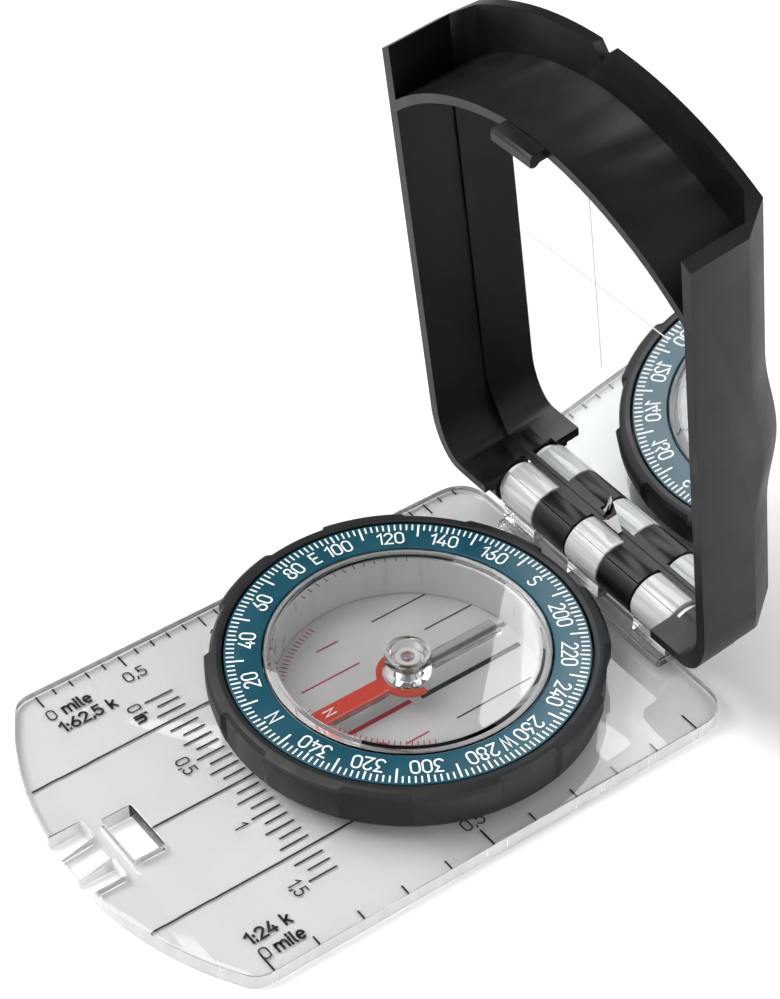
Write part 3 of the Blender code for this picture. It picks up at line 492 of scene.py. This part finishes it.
def pour(bm, mesh, scale=1 / MM, place=None):
    """Add a mesh to a bmesh in millimetres."""
    first = len(bm.verts)
    bm.from_mesh(mesh)
    bm.verts.ensure_lookup_table()
    added = [bm.verts[i] for i in range(first, len(bm.verts))]
    bmesh.ops.scale(bm, vec=Vector((scale,) * 3), verts=added)
    if place is not None:
        bmesh.ops.transform(bm, matrix=place, verts=added)
    bpy.data.meshes.remove(mesh)
    return bm


print("tick trees ready")

# %% [markdown]
# ## Numerals
# Instrument numerals are narrow, even strokes, because a round-nosed cutter once engraved them. So
# each letter here is a set of strokes in a box one unit high, and a ribbon is laid along each stroke.

# %% Stroke letters
PRINT_THICK = 0.03


def bow(cx, cy, rx, ry, start, end, steps=10):
    return [(cx + rx * math.cos(math.radians(start + (end - start) * i / steps)),
             cy + ry * math.sin(math.radians(start + (end - start) * i / steps))) for i in range(steps + 1)]


O_SHAPE = bow(0.27, 0.73, 0.27, 0.27, 0, 180) + bow(0.27, 0.27, 0.27, 0.27, 180, 360)
SIX = bow(0.27, 0.28, 0.27, 0.28, 150, -210, 22)
LETTERS = {
    "0": (0.54, [O_SHAPE + O_SHAPE[:1]]),
    "1": (0.28, [[(0.0, 0.76), (0.26, 1.0), (0.26, 0.0)]]),
    "2": (0.52, [bow(0.26, 0.74, 0.25, 0.26, 165, -35) + [(0.0, 0.0), (0.53, 0.0)]]),
    "3": (0.5, [[(0.02, 1.0), (0.48, 1.0), (0.22, 0.6)] + bow(0.22, 0.3, 0.28, 0.3, 90, -150)]),
    "4": (0.56, [[(0.34, 1.0), (0.0, 0.24), (0.56, 0.24)], [(0.42, 0.5), (0.42, 0.0)]]),
    "5": (0.5, [[(0.46, 1.0), (0.06, 1.0), (0.03, 0.56)] + bow(0.22, 0.32, 0.28, 0.32, 110, -150)]),
    "6": (0.54, [[(0.4, 1.0), (0.04, 0.42)] + SIX]),
    "8": (0.54, [bow(0.27, 0.77, 0.22, 0.23, -90, 270, 20), bow(0.27, 0.27, 0.27, 0.27, 90, 450, 20)]),
    "N": (0.56, [[(0.0, 0.0), (0.0, 1.0), (0.56, 0.0), (0.56, 1.0)]]),
    "E": (0.46, [[(0.46, 1.0), (0.0, 1.0), (0.0, 0.0), (0.46, 0.0)], [(0.0, 0.52), (0.4, 0.52)]]),
    "S": (0.52, [bow(0.26, 0.75, 0.24, 0.25, 30, 235) + bow(0.26, 0.26, 0.26, 0.26, 65, -150)]),
    "W": (0.8, [[(0.0, 1.0), (0.2, 0.0), (0.4, 0.9), (0.6, 0.0), (0.8, 1.0)]]),
    "m": (0.76, [[(0.0, 0.0), (0.0, 0.7)], bow(0.19, 0.5, 0.19, 0.2, 180, 0) + [(0.38, 0.0)],
                 bow(0.57, 0.5, 0.19, 0.2, 180, 0) + [(0.76, 0.0)]]),
    "n": (0.42, [[(0.0, 0.0), (0.0, 0.7)], bow(0.21, 0.48, 0.21, 0.22, 180, 0) + [(0.42, 0.0)]]),
    "i": (0.06, [[(0.03, 0.0), (0.03, 0.7)], [(0.03, 0.9), (0.03, 1.0)]]),
    "l": (0.12, [[(0.03, 1.0), (0.03, 0.12), (0.12, 0.0)]]),
    "e": (0.46, [[(0.0, 0.36), (0.46, 0.36)] + bow(0.23, 0.35, 0.23, 0.35, 0, 305, 16)]),
    "k": (0.42, [[(0.0, 0.0), (0.0, 1.0)], [(0.4, 0.7), (0.03, 0.3)], [(0.14, 0.42), (0.42, 0.0)]]),
    ":": (0.08, [[(0.04, 0.0), (0.04, 0.1)], [(0.04, 0.5), (0.04, 0.6)]]),
    ",": (0.1, [[(0.08, 0.1), (0.02, -0.14)]]),
    " ": (0.2, []),
}


def ribbon(bm, points, width, place):
    """Flat stroke along points, closed all round and PRINT_THICK deep."""
    rows = []
    count = len(points)
    closed = Vector(points[0]).to_tuple(4) == Vector(points[-1]).to_tuple(4)
    for i, point in enumerate(points):
        here = Vector(point)
        before = here - Vector(points[i - 1 if i else (-2 if closed else 0)])
        after = Vector(points[i + 1 if i + 1 < count else (1 if closed else i)]) - here
        one = before.normalized() if before.length else after.normalized()
        two = after.normalized() if after.length else one
        along = (one + two).normalized() if (one + two).length > 0.2 else two
        reach = width / 2 / max(0.5, along.dot(two))
        side = Vector((-along.y, along.x)) * reach
        tip = Vector((0, 0)) if closed or 0 < i < count - 1 else along * width * (0.4 if i else -0.4)
        rows.append([bm.verts.new(place @ Vector((*(here + tip + side * k), z)))
                     for k, z in ((1, 0), (-1, 0), (-1, PRINT_THICK), (1, PRINT_THICK))])
    for row_a, row_b in zip(rows, rows[1:]):
        for k in range(4):
            bm.faces.new((row_a[k], row_a[(k + 1) % 4], row_b[(k + 1) % 4], row_b[k]))
    if not closed:
        bm.faces.new(rows[0])
        bm.faces.new(rows[-1][::-1])


def lettering(bm, words, size, at, right, up, weight=0.13, squeeze=1.0, gap=0.2):
    """Add words to bm, centred at a point: size is the cap height in mm, weight the stroke's share of it."""
    r = Vector(right).normalized()
    u = Vector(up).normalized()
    total = sum(LETTERS[letter][0] + gap for letter in words) - gap
    place = Matrix((r, u, r.cross(u))).transposed().to_4x4()
    place.translation = Vector(at)
    x = -total / 2
    for letter in words:
        advance, strokes = LETTERS[letter]
        for stroke in strokes:
            points = [((x + px) * size * squeeze, (py - 0.5) * size) for px, py in stroke]
            ribbon(bm, points, weight * size, place)
        x += advance + gap


# %% [markdown]
# ## The dial
# The blue ring carries a mark every two degrees: a long one midway between two numbers, a middle
# one at each number, and short ones between. The marks at E and W are short, to leave room for the
# letters. North points to the plate's front.

# %% Dial ring
low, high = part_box("dial_ring")
DIAL_TOP = high.z / MM
DIAL_BASE = low.z / MM
DIAL_OUT = high.x / MM
DIAL_IN = 19.3
ring_profile = rounded([(DIAL_IN, DIAL_BASE), (DIAL_OUT, DIAL_BASE), (DIAL_OUT, DIAL_TOP),
                        (DIAL_IN, DIAL_TOP)], 0.12)
dial_ring = finish_piece("dial_ring_printed", turn(ring_profile), BLUE, "dial")
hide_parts("dial_ring")

# %% Dial marks and numerals
MARK_OUT = 23.93
LONG_MARK = (2.35, 0.27)       # length and width
MIDDLE_MARK = (1.35, 0.25)
SHORT_MARK = (1.1, 0.22)
marks_bm = bmesh.new()
degree = math.radians(1)
for count, step, first, (length, width), leave in (
        (8, 20, 110, LONG_MARK, FIRST_ONLY), (8, 20, 290, LONG_MARK, FIRST_ONLY),
        (2, 180, 90, SHORT_MARK, FIRST_ONLY), (18, 20, 0, MIDDLE_MARK, FIRST_ONLY),
        (180, 2, 0, SHORT_MARK, 5)):
    spare = 1 if leave == FIRST_ONLY else 0
    mesh = grow(RING_TREE, WHITE_INK, count=count + spare, step=step * degree,
                start=(first - step * spare) * degree, outer_radius=MARK_OUT * MM,
                length=length * MM, width=width * MM, thickness=PRINT_THICK * MM, height=DIAL_TOP * MM,
                leave_out_every=float(leave))
    pour(marks_bm, mesh)
NUMERAL_R = 21.25
NUMERAL_TALL = 2.05
NUMERAL_WEIGHT = 0.115
for bearing in list(range(0, 360, 20)) + [90, 270]:
    words = {0: "N", 90: "E", 180: "S", 270: "W"}.get(bearing, str(bearing))
    a = bearing * degree
    outward = Vector((-math.sin(a), -math.cos(a), 0))
    clockwise = Vector((-math.cos(a), math.sin(a), 0))
    spot = outward * NUMERAL_R + Vector((0, 0, DIAL_TOP))
    lettering(marks_bm, words, NUMERAL_TALL, spot, clockwise, outward, NUMERAL_WEIGHT)
finish_piece("dial_print", marks_bm, WHITE_INK, "dial", None)

# %% [markdown]
# ## The grip ring
# Eight raised lobes give the fingers something to turn. Each fades out towards the foot and has a
# small slope on its top edge. The ring is turned as one profile, and a reshaping function lifts the
# outer wall where a lobe stands.

# %% Grip ring
GRIP_OUT = 26.2
GRIP_IN = 24.5
LEDGE_IN = 19.3
LEDGE_TOP = 8.1
LEDGE_LOW = 7.1
LOBES = 8
LOBE_DEG = 25.0
LOBE_FLANK_DEG = 1.0      # turn over which a lobe's flank rises
LOBE_RISE = 0.62
LOBE_BAND = 0.9           # depth of the outer wall that a lobe lifts
LOBE_BLEND = 0.5          # part of that depth over which the lift comes in
LOBE_FOOT = 0.6           # start of a lobe above the ring's foot
LOBE_FADE = 2.6           # height over which it comes to its full rise
TOP_BAND = 0.5            # height of the top edge that slopes on a lobe
TOP_SLOPE = 0.18
g_low, g_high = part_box("grip_ring")
GRIP_FOOT = g_low.z / MM
GRIP_TOP = g_high.z / MM


def lobe_share(angle):
    """1 on a lobe, 0 between two lobes."""
    pitch = 360 / LOBES
    offset = abs(math.degrees(angle) % pitch - pitch / 2)
    return 1 - min(1.0, max(0.0, (offset - LOBE_DEG / 2 + LOBE_FLANK_DEG / 2) / LOBE_FLANK_DEG))


def with_lobes(r, z, angle):
    """Lift the outer wall where a lobe stands, and slope its top edge."""
    if r < GRIP_OUT - LOBE_BAND:
        return r, z
    fade = min(1.0, max(0.0, (z - GRIP_FOOT - LOBE_FOOT) / LOBE_FADE))
    share = lobe_share(angle) * fade * min(1.0, (r - GRIP_OUT + LOBE_BAND) / LOBE_BLEND)
    slope = TOP_SLOPE * share if z > GRIP_TOP - TOP_BAND else 0.0
    return r + LOBE_RISE * share, z - slope


grip_profile = rounded([(GRIP_IN, GRIP_TOP, 0.15), (GRIP_IN, LEDGE_TOP, 0.05), (LEDGE_IN, LEDGE_TOP, 0.05),
                        (LEDGE_IN, LEDGE_LOW, 0.05), (GRIP_IN, LEDGE_LOW, 0.05), (GRIP_IN, GRIP_FOOT, 0.2),
                        (25.4, GRIP_FOOT, 0.2), (GRIP_OUT, GRIP_FOOT + 0.8, 0.4), (GRIP_OUT, 5.0, 0),
                        (GRIP_OUT, 6.6, 0), (GRIP_OUT, GRIP_TOP - 0.75, 0.2),
                        (25.75, GRIP_TOP - 0.12, 0.25), (25.2, GRIP_TOP, 0.2)], 0.2)
grip = finish_piece("grip_ring_rubber", turn(grip_profile, 720, with_lobes), RUBBER, "dial",
                    40)
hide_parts("grip_ring")

# %% [markdown]
# ## The capsule
# A clear cup with a grey floor, closed by a clear lid with a bevelled rim. The floor carries black
# and red meridian lines, which are lined up with the map's grid. A thin pale ring inside the cup's
# wall is painted light: it stands in for the light that the moulded wall scatters.

# %% Cup, lid and floor
CUP_R = 19.0
CUP_TOP = 8.05
CUP_BORE = 18.3
CUP_FLOOR = 0.6
cup = [(0, 0, 0), (CUP_R, 0, 0.3), (CUP_R, CUP_TOP, 0.15), (CUP_BORE, CUP_TOP, 0.15),
       (CUP_BORE, CUP_FLOOR, 0.4), (0, CUP_FLOOR, 0)]
capsule_cup = finish_piece("capsule_cup_clear", turn(rounded(cup, 0.2)), ACRYLIC, "dial", 30)
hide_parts("capsule_cup")
d_low, d_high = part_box("capsule_dome")
LID_TOP = d_high.z / MM
LID_LOW = d_low.z / MM
lid = [(0, LID_LOW, 0), (17.3, LID_LOW, 0.2), (18.0, LID_LOW + 0.15, 0.1), (CUP_R, LID_LOW + 0.15, 0.08),
       (CUP_R, DIAL_TOP, 0.1), (17.7, LID_TOP, 0.25), (0, LID_TOP, 0)]
capsule_lid = finish_piece("capsule_lid_clear", turn(rounded(lid, 0.1)), ACRYLIC, "dial", 30)
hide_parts("capsule_dome")
FLOOR_LOW = 0.9
FLOOR_TOP = 1.4
disc = rounded([(1.4, FLOOR_LOW), (18.0, FLOOR_LOW), (18.0, FLOOR_TOP), (1.4, FLOOR_TOP)], 0.08)
capsule_floor = finish_piece("capsule_floor_grey", turn(disc), FLOOR_PLASTIC, "dial", 30)
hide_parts("floor_disc")

# A thin ring of painted light just inside the cup's bore.
scatter_light_profile = rounded([(17.98, FLOOR_TOP), (18.26, FLOOR_TOP), (18.26, 7.95), (17.98, 7.95)], 0.06)
finish_piece("painted_scatter_light_ring", turn(scatter_light_profile), SCATTER_LIGHT_PAINT, "dial", 30)

# %% Meridian lines
# A line is its place across, its two ends along, and its width.
BLACK_LINES = [(-12.9, 3.4, 12.4, 0.22), (-7.5, 8.3, 16.2, 0.22), (-2.0, 5.2, 17.7, 0.75),
               (2.2, 0.5, 16.9, 0.75), (8.0, 2.0, 14.3, 0.22)]
RED_LINES = [(-12.7, -5.8, -2.3, 0.25), (-7.7, -11.7, -2.3, 0.25), (1.95, -11.4, -1.0, 0.7),
             (7.7, -6.6, -2.3, 0.25)]
INK_Z = FLOOR_TOP + 0.01
FLOOR_ARC_R = 17.4
FLOOR_ARC_COUNT = 18
FLOOR_ARC_FIRST_DEG = 35
FLOOR_ARC_STEP_DEG = 34 / 14
for name, lines, ink in (("meridians_black", BLACK_LINES, BLACK_INK), ("meridians_red", RED_LINES, RED_INK)):
    bm = bmesh.new()
    for x, y0, y1, width in lines:
        block(bm, x - width / 2, x + width / 2, y0, y1, INK_Z, INK_Z + PRINT_THICK)
    if ink is RED_INK:
        pour(bm, grow(RING_TREE, ink, count=FLOOR_ARC_COUNT, step=FLOOR_ARC_STEP_DEG * degree,
                      start=FLOOR_ARC_FIRST_DEG * degree, outer_radius=FLOOR_ARC_R * MM, length=1.0 * MM,
                      width=0.14 * MM, thickness=PRINT_THICK * MM, height=(INK_Z + 0.02) * MM,
                      leave_out_every=FIRST_ONLY))
    finish_piece(name, bm, ink, "dial", None)

# %% Scale arcs under the lid
LID_ARCS = (("lid_arc_black", BLACK_INK, 66, 5, 13), ("lid_arc_red", RED_INK, 292, 2.5, 26))
for name, ink, first, step, count in LID_ARCS:
    bm = pour(bmesh.new(), grow(RING_TREE, ink, count=count, step=step * degree, start=first * degree,
                                outer_radius=17.5 * MM, length=0.8 * MM, width=0.13 * MM,
                                thickness=PRINT_THICK * MM, height=(LID_LOW - PRINT_THICK) * MM,
                                leave_out_every=FIRST_ONLY))
    finish_piece(name, bm, ink, "dial", None)

# %% [markdown]
# ## The needle
# A red north arm forks round a clear hub; the south arm is smoke grey and clear. The hub holds a
# jewel that turns on a steel point.

# %% Needle
NEEDLE_LOW = 4.1
NEEDLE_TOP = 4.7


def slab(outline, z0, z1, edge=0.1):
    """Flat plate over an outline, with its top edge broken."""
    bm = bmesh.new()
    middle = sum((Vector(p) for p in outline), Vector((0, 0))) / len(outline)
    rings = []
    for z, pull in ((z0, 0.0), (z1 - edge, 0.0), (z1, edge)):
        ring = []
        count = len(outline)
        for i, p in enumerate(outline):
            here = Vector(p)
            along = (Vector(outline[(i + 1) % count]) - Vector(outline[i - 1])).normalized()
            inward = Vector((-along.y, along.x))
            ring.append(bm.verts.new((*(here + inward * pull), z)))
        rings.append(ring)
    bm.faces.new(rings[0])
    bm.faces.new(rings[-1])
    for ring, following in zip(rings, rings[1:]):
        for i in range(len(outline)):
            j = (i + 1) % len(outline)
            bm.faces.new((ring[i], ring[j], following[j], following[i]))
    return bm


def arc(radius, start, end, steps):
    return bow(0, 0, radius, radius, start, end, steps)


HALF_ARM = 1.3
FORK_IN = 3.4
FORK_OUT = 4.25
NORTH_TIP = -15.1
SOUTH_TIP = 14.6
join = math.degrees(math.asin(HALF_ARM / FORK_OUT))
north = arc(FORK_IN, 0, -180, 28) + arc(FORK_OUT, -180, -90 - join, 12)
north += [(-HALF_ARM, NORTH_TIP), (HALF_ARM, NORTH_TIP)] + arc(FORK_OUT, -90 + join, 0, 12)
needle_north = finish_piece("needle_north_red", slab(north, NEEDLE_LOW, NEEDLE_TOP), RED_LACQUER, "needle",
                            25)
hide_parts("needle_north")
south = [(-HALF_ARM, FORK_IN), (HALF_ARM, FORK_IN), (HALF_ARM, SOUTH_TIP), (-HALF_ARM, SOUTH_TIP)]
needle_south = finish_piece("needle_south_smoke", slab(south, NEEDLE_LOW, NEEDLE_TOP), SMOKE, "needle",
                            25)
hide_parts("needle_south")
letter_bm = bmesh.new()
lettering(letter_bm, "N", 1.5, (0, -12.6, NEEDLE_TOP + 0.01), (-1, 0, 0), (0, -1, 0), 0.16)
finish_piece("needle_letter", letter_bm, WHITE_INK, "needle", None)

# %% Hub, jewel and pivot
HUB_BORE = 1.0
HUB_R = 3.1
HUB_TOP = 8.3
HUB_SEAT = 6.6
hub = rounded([(HUB_BORE, NEEDLE_TOP), (HUB_R, NEEDLE_TOP), (HUB_R, HUB_TOP, 0.35), (2.4, HUB_TOP, 0.2),
               (2.3, HUB_SEAT), (HUB_BORE, HUB_SEAT)], 0.08)
hub_piece = finish_piece("hub_clear", turn(hub, 96), HUB_ACRYLIC, "needle", 30)
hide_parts("hub_cup")
collar = rounded([(1.0, 6.9), (1.7, 6.9), (1.7, 7.4), (1.0, 7.4)], 0.1)
collar_piece = finish_piece("jewel_collar_ring", turn(collar, 64), NYLON, "needle", 30)
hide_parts("jewel_collar")
jewel = rounded([(0, 7.02, 0), (0.38, 6.75, 0), (0.75, 6.75), (0.75, 7.55, 0.25), (0, 7.55, 0)], 0.08)
jewel_piece = finish_piece("jewel_cup", turn(jewel, 48), JEWEL, "needle", 30)
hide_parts("hub_jewel")
pivot = rounded([(0, FLOOR_LOW, 0), (0.4, FLOOR_LOW), (0.4, 5.9, 0.1), (0.05, 6.85, 0.03),
                 (0, 6.88, 0)], 0.05)
pivot_piece = finish_piece("pivot_point", turn(pivot, 32), STEEL, "dial", 30)
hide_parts("pivot_pin")
bush = rounded([(0.7, FLOOR_LOW), (1.1, FLOOR_LOW), (1.1, 2.2, 0.12), (0.7, 2.2, 0.1)], 0.05)
bush_piece = finish_piece("pivot_bush_turned", turn(bush, 48), BRASS, "dial", 30)
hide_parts("pivot_bush")

# %% [markdown]
# ## The baseplate
# A sheet of acrylic with an arched front edge, a latch window, two slots that free a small tongue,
# and a hole for the capsule. A flat curve with an extrusion and a bevel gives that in one piece,
# with every edge evenly rounded.

# %% Plate outline
PLATE_HALF = 28.9
PLATE_THICK = 2.35
FRONT = 52.6
REAR = 32.0
ARCH = 50.0
PLATE_EDGE = 0.3
SLOT_IN = 2.3             # the two slots beside the tongue
SLOT_OUT = 5.4
SLOT_REAR = -47.6
WINDOW_HALF = 4.0
WINDOW_FRONT = -45.3
WINDOW_REAR = -41.0
TONGUE_START = -48        # the tongue's top falls from here to the front edge
TONGUE_DROP = 1.1


def front_arch(x):
    """Place along the plate of its arched front edge."""
    return -(FRONT - ARCH) - math.sqrt(ARCH ** 2 - x ** 2)


def plate_outline():
    """Points anticlockwise from the rear right corner, with a corner radius for each."""
    left = [(-PLATE_HALF, REAR, 5.5), (-PLATE_HALF, front_arch(PLATE_HALF) - 0.05, 3.5)]
    left += [(x, front_arch(x), 0) for x in range(-24, -5, 2)]
    left += [(-SLOT_OUT, front_arch(SLOT_OUT), 0.3), (-SLOT_OUT, SLOT_REAR, 0.25),
             (-SLOT_IN, SLOT_REAR, 0.25), (-SLOT_IN, front_arch(SLOT_IN), 0.3)]
    right = [(-x, y, r) for x, y, r in reversed(left)]
    return rounded(left + [(0, front_arch(0), 0)] + right, 0.3, 8)


def flat_curve(name, outlines, thick, edge, z):
    """Extruded and bevelled plate over outlines, the first the outside and the others holes."""
    curve = bpy.data.curves.new(name, "CURVE")
    curve.dimensions = "2D"
    curve.fill_mode = "BOTH"
    curve.extrude = (thick / 2 - edge) * MM
    curve.bevel_depth = edge * MM
    curve.bevel_resolution = 3
    curve.offset = -edge * MM
    for outline in outlines:
        spline = curve.splines.new("POLY")
        spline.points.add(len(outline) - 1)
        spline.use_cyclic_u = True
        for point, (x, y) in zip(spline.points, outline):
            point.co = (x * MM, y * MM, 0, 1)
    holder = bpy.data.objects.new(name, curve)
    bpy.context.scene.collection.objects.link(holder)
    graph = bpy.context.evaluated_depsgraph_get()
    graph.update()
    mesh = bpy.data.meshes.new_from_object(holder.evaluated_get(graph))
    bpy.data.objects.remove(holder)
    bm = bmesh.new()
    pour(bm, mesh, 1 / MM, Matrix.Translation((0, 0, z + thick / 2)))
    return bm


window = rounded([(-WINDOW_HALF, WINDOW_FRONT), (WINDOW_HALF, WINDOW_FRONT), (WINDOW_HALF, WINDOW_REAR),
                  (-WINDOW_HALF, WINDOW_REAR)], 0.25)
dial_hole = arc(19.6, 0, 360, 160)[:-1]
plate_bm = flat_curve("plate", [plate_outline(), window, dial_hole], PLATE_THICK, PLATE_EDGE, 0.0)
for v in plate_bm.verts:
    if abs(v.co.x) < 2.5 and v.co.y < TONGUE_START and v.co.z > PLATE_THICK / 2:
        v.co.z -= TONGUE_DROP * min(1.0, (TONGUE_START - v.co.y) / 4)
plate = finish_piece("plate_clear", plate_bm, ACRYLIC, "base", 30)
plate.data.materials.append(EDGE_ACRYLIC)
# The side faces are satin, apart from the window's rear wall, which stays clear and looks dark.
for face in plate.data.polygons:
    dark_wall = abs(face.center.y / MM - WINDOW_REAR) < 0.3 and abs(face.center.x / MM) < 4.5
    face.material_index = 0 if abs(face.normal.z) > 0.8 or dark_wall else 1
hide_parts("baseplate")

# %% Hinge rail and knuckles
HINGE_Y = 32.7
HINGE_Z = 8.6
KNUCKLE_R = 3.64
KNUCKLE_SPANS = ((-17.5, -10.65), (-3.35, 3.35), (10.65, 17.5))
RAIL_HALF = 17.5
RAIL_FRONT = 28.6
RAIL_REAR = 34.4


def rod(bm, radius, bore, x0, x1, steps=64, edge=0.25):
    """Tube along X on the hinge axis, with its outer ends rounded."""
    profile = rounded([(bore, x0, 0.05), (radius, x0), (radius, x1), (bore, x1, 0.05)], edge)
    piece = turn(profile, steps)
    bmesh.ops.transform(piece, matrix=Matrix(((0, 0, 1, 0), (1, 0, 0, HINGE_Y), (0, 1, 0, HINGE_Z),
                                              (0, 0, 0, 1))), verts=piece.verts)
    mesh = bpy.data.meshes.new("rod")
    piece.to_mesh(mesh)
    piece.free()
    return pour(bm, mesh, 1.0)


rail_bm = bmesh.new()
for x0, x1 in KNUCKLE_SPANS:
    rod(rail_bm, KNUCKLE_R, 1.2, x0, x1)
finish_piece("hinge_knuckles_clear", rail_bm, KNUCKLE_ACRYLIC, "base", 30)
block_bm = bmesh.new()
block(block_bm, -RAIL_HALF, RAIL_HALF, RAIL_FRONT, RAIL_REAR, 2.3, 3.85)
bmesh.ops.bevel(block_bm, geom=list(block_bm.edges), offset=0.3, segments=3, affect="EDGES")
finish_piece("hinge_rail_clear", block_bm, ACRYLIC, "base", 30)
web_bm = bmesh.new()
for x0, x1 in KNUCKLE_SPANS:
    block(web_bm, x0 + 0.1, x1 - 0.1, HINGE_Y - 2.9, 34.1, 3.7, 6.2)
finish_piece("hinge_webs_clear", web_bm, ACRYLIC, "base", 30)

# %% [markdown]
# ## Prints on the plate
# The inch rule, two map scales and three long guide lines are screen-printed on the underside, so
# they are seen through the acrylic.

# %% Scales
PLATE_INK_Z = 0.3
INCH_STEP = 25.4 / 16
RULE_REAR = -25.14
MARK_HALF = 0.13
GUIDE_HALF = 0.14
GUIDE_STOP_R = 19.4
scale_bm = bmesh.new()


def row(count, first, pace, size):
    """One row of marks on the plate after its left-out first one, sizes in mm."""
    mesh = grow(ROW_TREE, BLACK_INK, count=count, first=tuple(c * MM for c in first),
                pace=tuple(c * MM for c in pace), size=tuple(c * MM for c in size),
                leave_out_every=FIRST_ONLY)
    pour(scale_bm, mesh)


def inch_rule():
    """Longer marks on the even steps and shorter ones on the odd steps."""
    first = -12 * INCH_STEP
    for parity, y0 in ((0, -29.48), (1, -28.50)):
        start = first + (parity - 2) * INCH_STEP
        row(14 - parity, (start, (y0 + RULE_REAR) / 2, PLATE_INK_Z), (2 * INCH_STEP, 0, 0),
            (0.27, abs(y0 - RULE_REAR), PRINT_THICK))


def side_scale(edge_x, long_x, short_x, first_y, pace, count, long_every):
    """Marks that start at the plate's edge; every n-th is long."""
    for k in range(count):
        reach = long_x if k % long_every == 0 else short_x
        x0, x1 = sorted((edge_x, reach))
        y = first_y + k * pace
        block(scale_bm, x0, x1, y - MARK_HALF, y + MARK_HALF, PLATE_INK_Z, PLATE_INK_Z + PRINT_THICK)


inch_rule()
side_scale(-28.6, -26.39, -27.45, -40.55, 2.575, 28, 5)
side_scale(28.6, 25.0, 26.4, -40.66, 6.706, 11, 5)
for k in (3, 12, 21):
    x = (k - 12) * INCH_STEP
    y0 = -40.9 if k == 12 else front_arch(x) + 1.0
    y1 = -math.sqrt(GUIDE_STOP_R ** 2 - x ** 2)
    block(scale_bm, x - GUIDE_HALF, x + GUIDE_HALF, y0, y1, PLATE_INK_Z, PLATE_INK_Z + PRINT_THICK)
for words, x, tall, weight in (("0", -19.05, 1.8, 0.12), ("in", -17.0, 1.8, 0.2), ("0,5", -6.35, 1.8, 0.12),
                               ("1", 6.4, 1.8, 0.12), ("1,5", 19.05, 1.8, 0.12)):
    lettering(scale_bm, words, tall, (x, -31.1, PLATE_INK_Z), (1, 0, 0), (0, 1, 0), weight)
LABELS = [("0", -24.5, -40.5, 0.12), ("mile", -24.5, -36.7, 0.2), ("1:62,5 k", -21.7, -36.6, 0.2),
          ("0,5", -24.5, -27.6, 0.12), ("1", -24.5, -14.8, 0.12), ("1:24 k", 22.1, -37.7, 0.2),
          ("0", 25.0, -40.1, 0.12), ("mile", 25.0, -36.5, 0.2), ("0,5", 23.4, -7.1, 0.12)]
for words, x, y, weight in LABELS:
    lettering(scale_bm, words, 1.75, (x, y, PLATE_INK_Z), (0, 1, 0), (-1, 0, 0), weight, 1.15)
finish_piece("plate_print", scale_bm, BLACK_INK, "base", None)

# %% [markdown]
# ## The cover
# The cover's walls, lip, tab and knuckles come from the frame. Moulded edges are never sharp, so a
# copy of its mesh is merged and given a small round on every sharp edge.

# %% Cover shell
def softened(node, name, mat, body, width, angle_deg=38, segments=2):
    """Copy of a frame node with its edges rounded."""
    bm = bmesh.new()
    bm.from_mesh(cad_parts[node].data)
    bmesh.ops.remove_doubles(bm, verts=bm.verts, dist=3e-6)
    bmesh.ops.dissolve_limit(bm, angle_limit=math.radians(0.6), verts=bm.verts, edges=bm.edges)
    mesh = bpy.data.meshes.new(name)
    bm.to_mesh(mesh)
    bm.free()
    mesh.shade_smooth()
    mesh.set_sharp_from_angle(angle=math.radians(30))
    obj = ride_piece(name, mesh, mat, body)
    edge = obj.modifiers.new("edge_round", "BEVEL")
    edge.width = width * MM
    edge.segments = segments
    edge.limit_method = "ANGLE"
    edge.angle_limit = math.radians(angle_deg)
    edge.use_clamp_overlap = True
    edge.harden_normals = True
    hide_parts(node)
    return obj


softened("cover_shell", "cover_moulding", COVER, "cover", 0.25)
softened("mirror_glass", "mirror_plate", MIRROR, "cover", 0.15)

# %% Sighting lines on the mirror
HINGE_AT = Vector((0, HINGE_Y, HINGE_Z))
ALONG = Vector((0, -0.1253, 0.9921))
OUTWARD = Vector((0, -0.9921, -0.1253))
MIRROR_FACE = -2.5
MID_U = 47.4
LINE_UP = 14.3            # half lengths of the two lines
LINE_ACROSS = 14.0


def on_mirror(x, u):
    return HINGE_AT + ALONG * u + OUTWARD * (MIRROR_FACE + 0.01) + Vector((x, 0, 0))


lines_bm = bmesh.new()
for x0, u0, x1, u1 in ((0, MID_U - LINE_UP, 0, MID_U + LINE_UP), (-LINE_ACROSS, MID_U, LINE_ACROSS, MID_U)):
    ends = on_mirror(x0, u0), on_mirror(x1, u1)
    way = (ends[1] - ends[0]).normalized()
    place = Matrix((way, way.cross(OUTWARD), OUTWARD)).transposed().to_4x4()
    place.translation = ends[0]
    ribbon(lines_bm, [(0, 0), ((ends[1] - ends[0]).length, 0)], 0.16, place)
finish_piece("mirror_sight_lines", lines_bm, ETCH, "cover", None)

# %% Finishes for the frame's own pieces
for node, mat in (("hinge_pin", STEEL), ("friction_ring", RUBBER), ("hinge_washer_left", NYLON),
                  ("hinge_washer_right", NYLON), ("capsule_seal", SEAL), ("retainer_ring", STEEL),
                  ("needle_magnet", STEEL), ("mirror_pad", FOAM)):
    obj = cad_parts[node]
    obj.data.materials.clear()
    obj.data.materials.append(mat)
print("frame pieces finished")
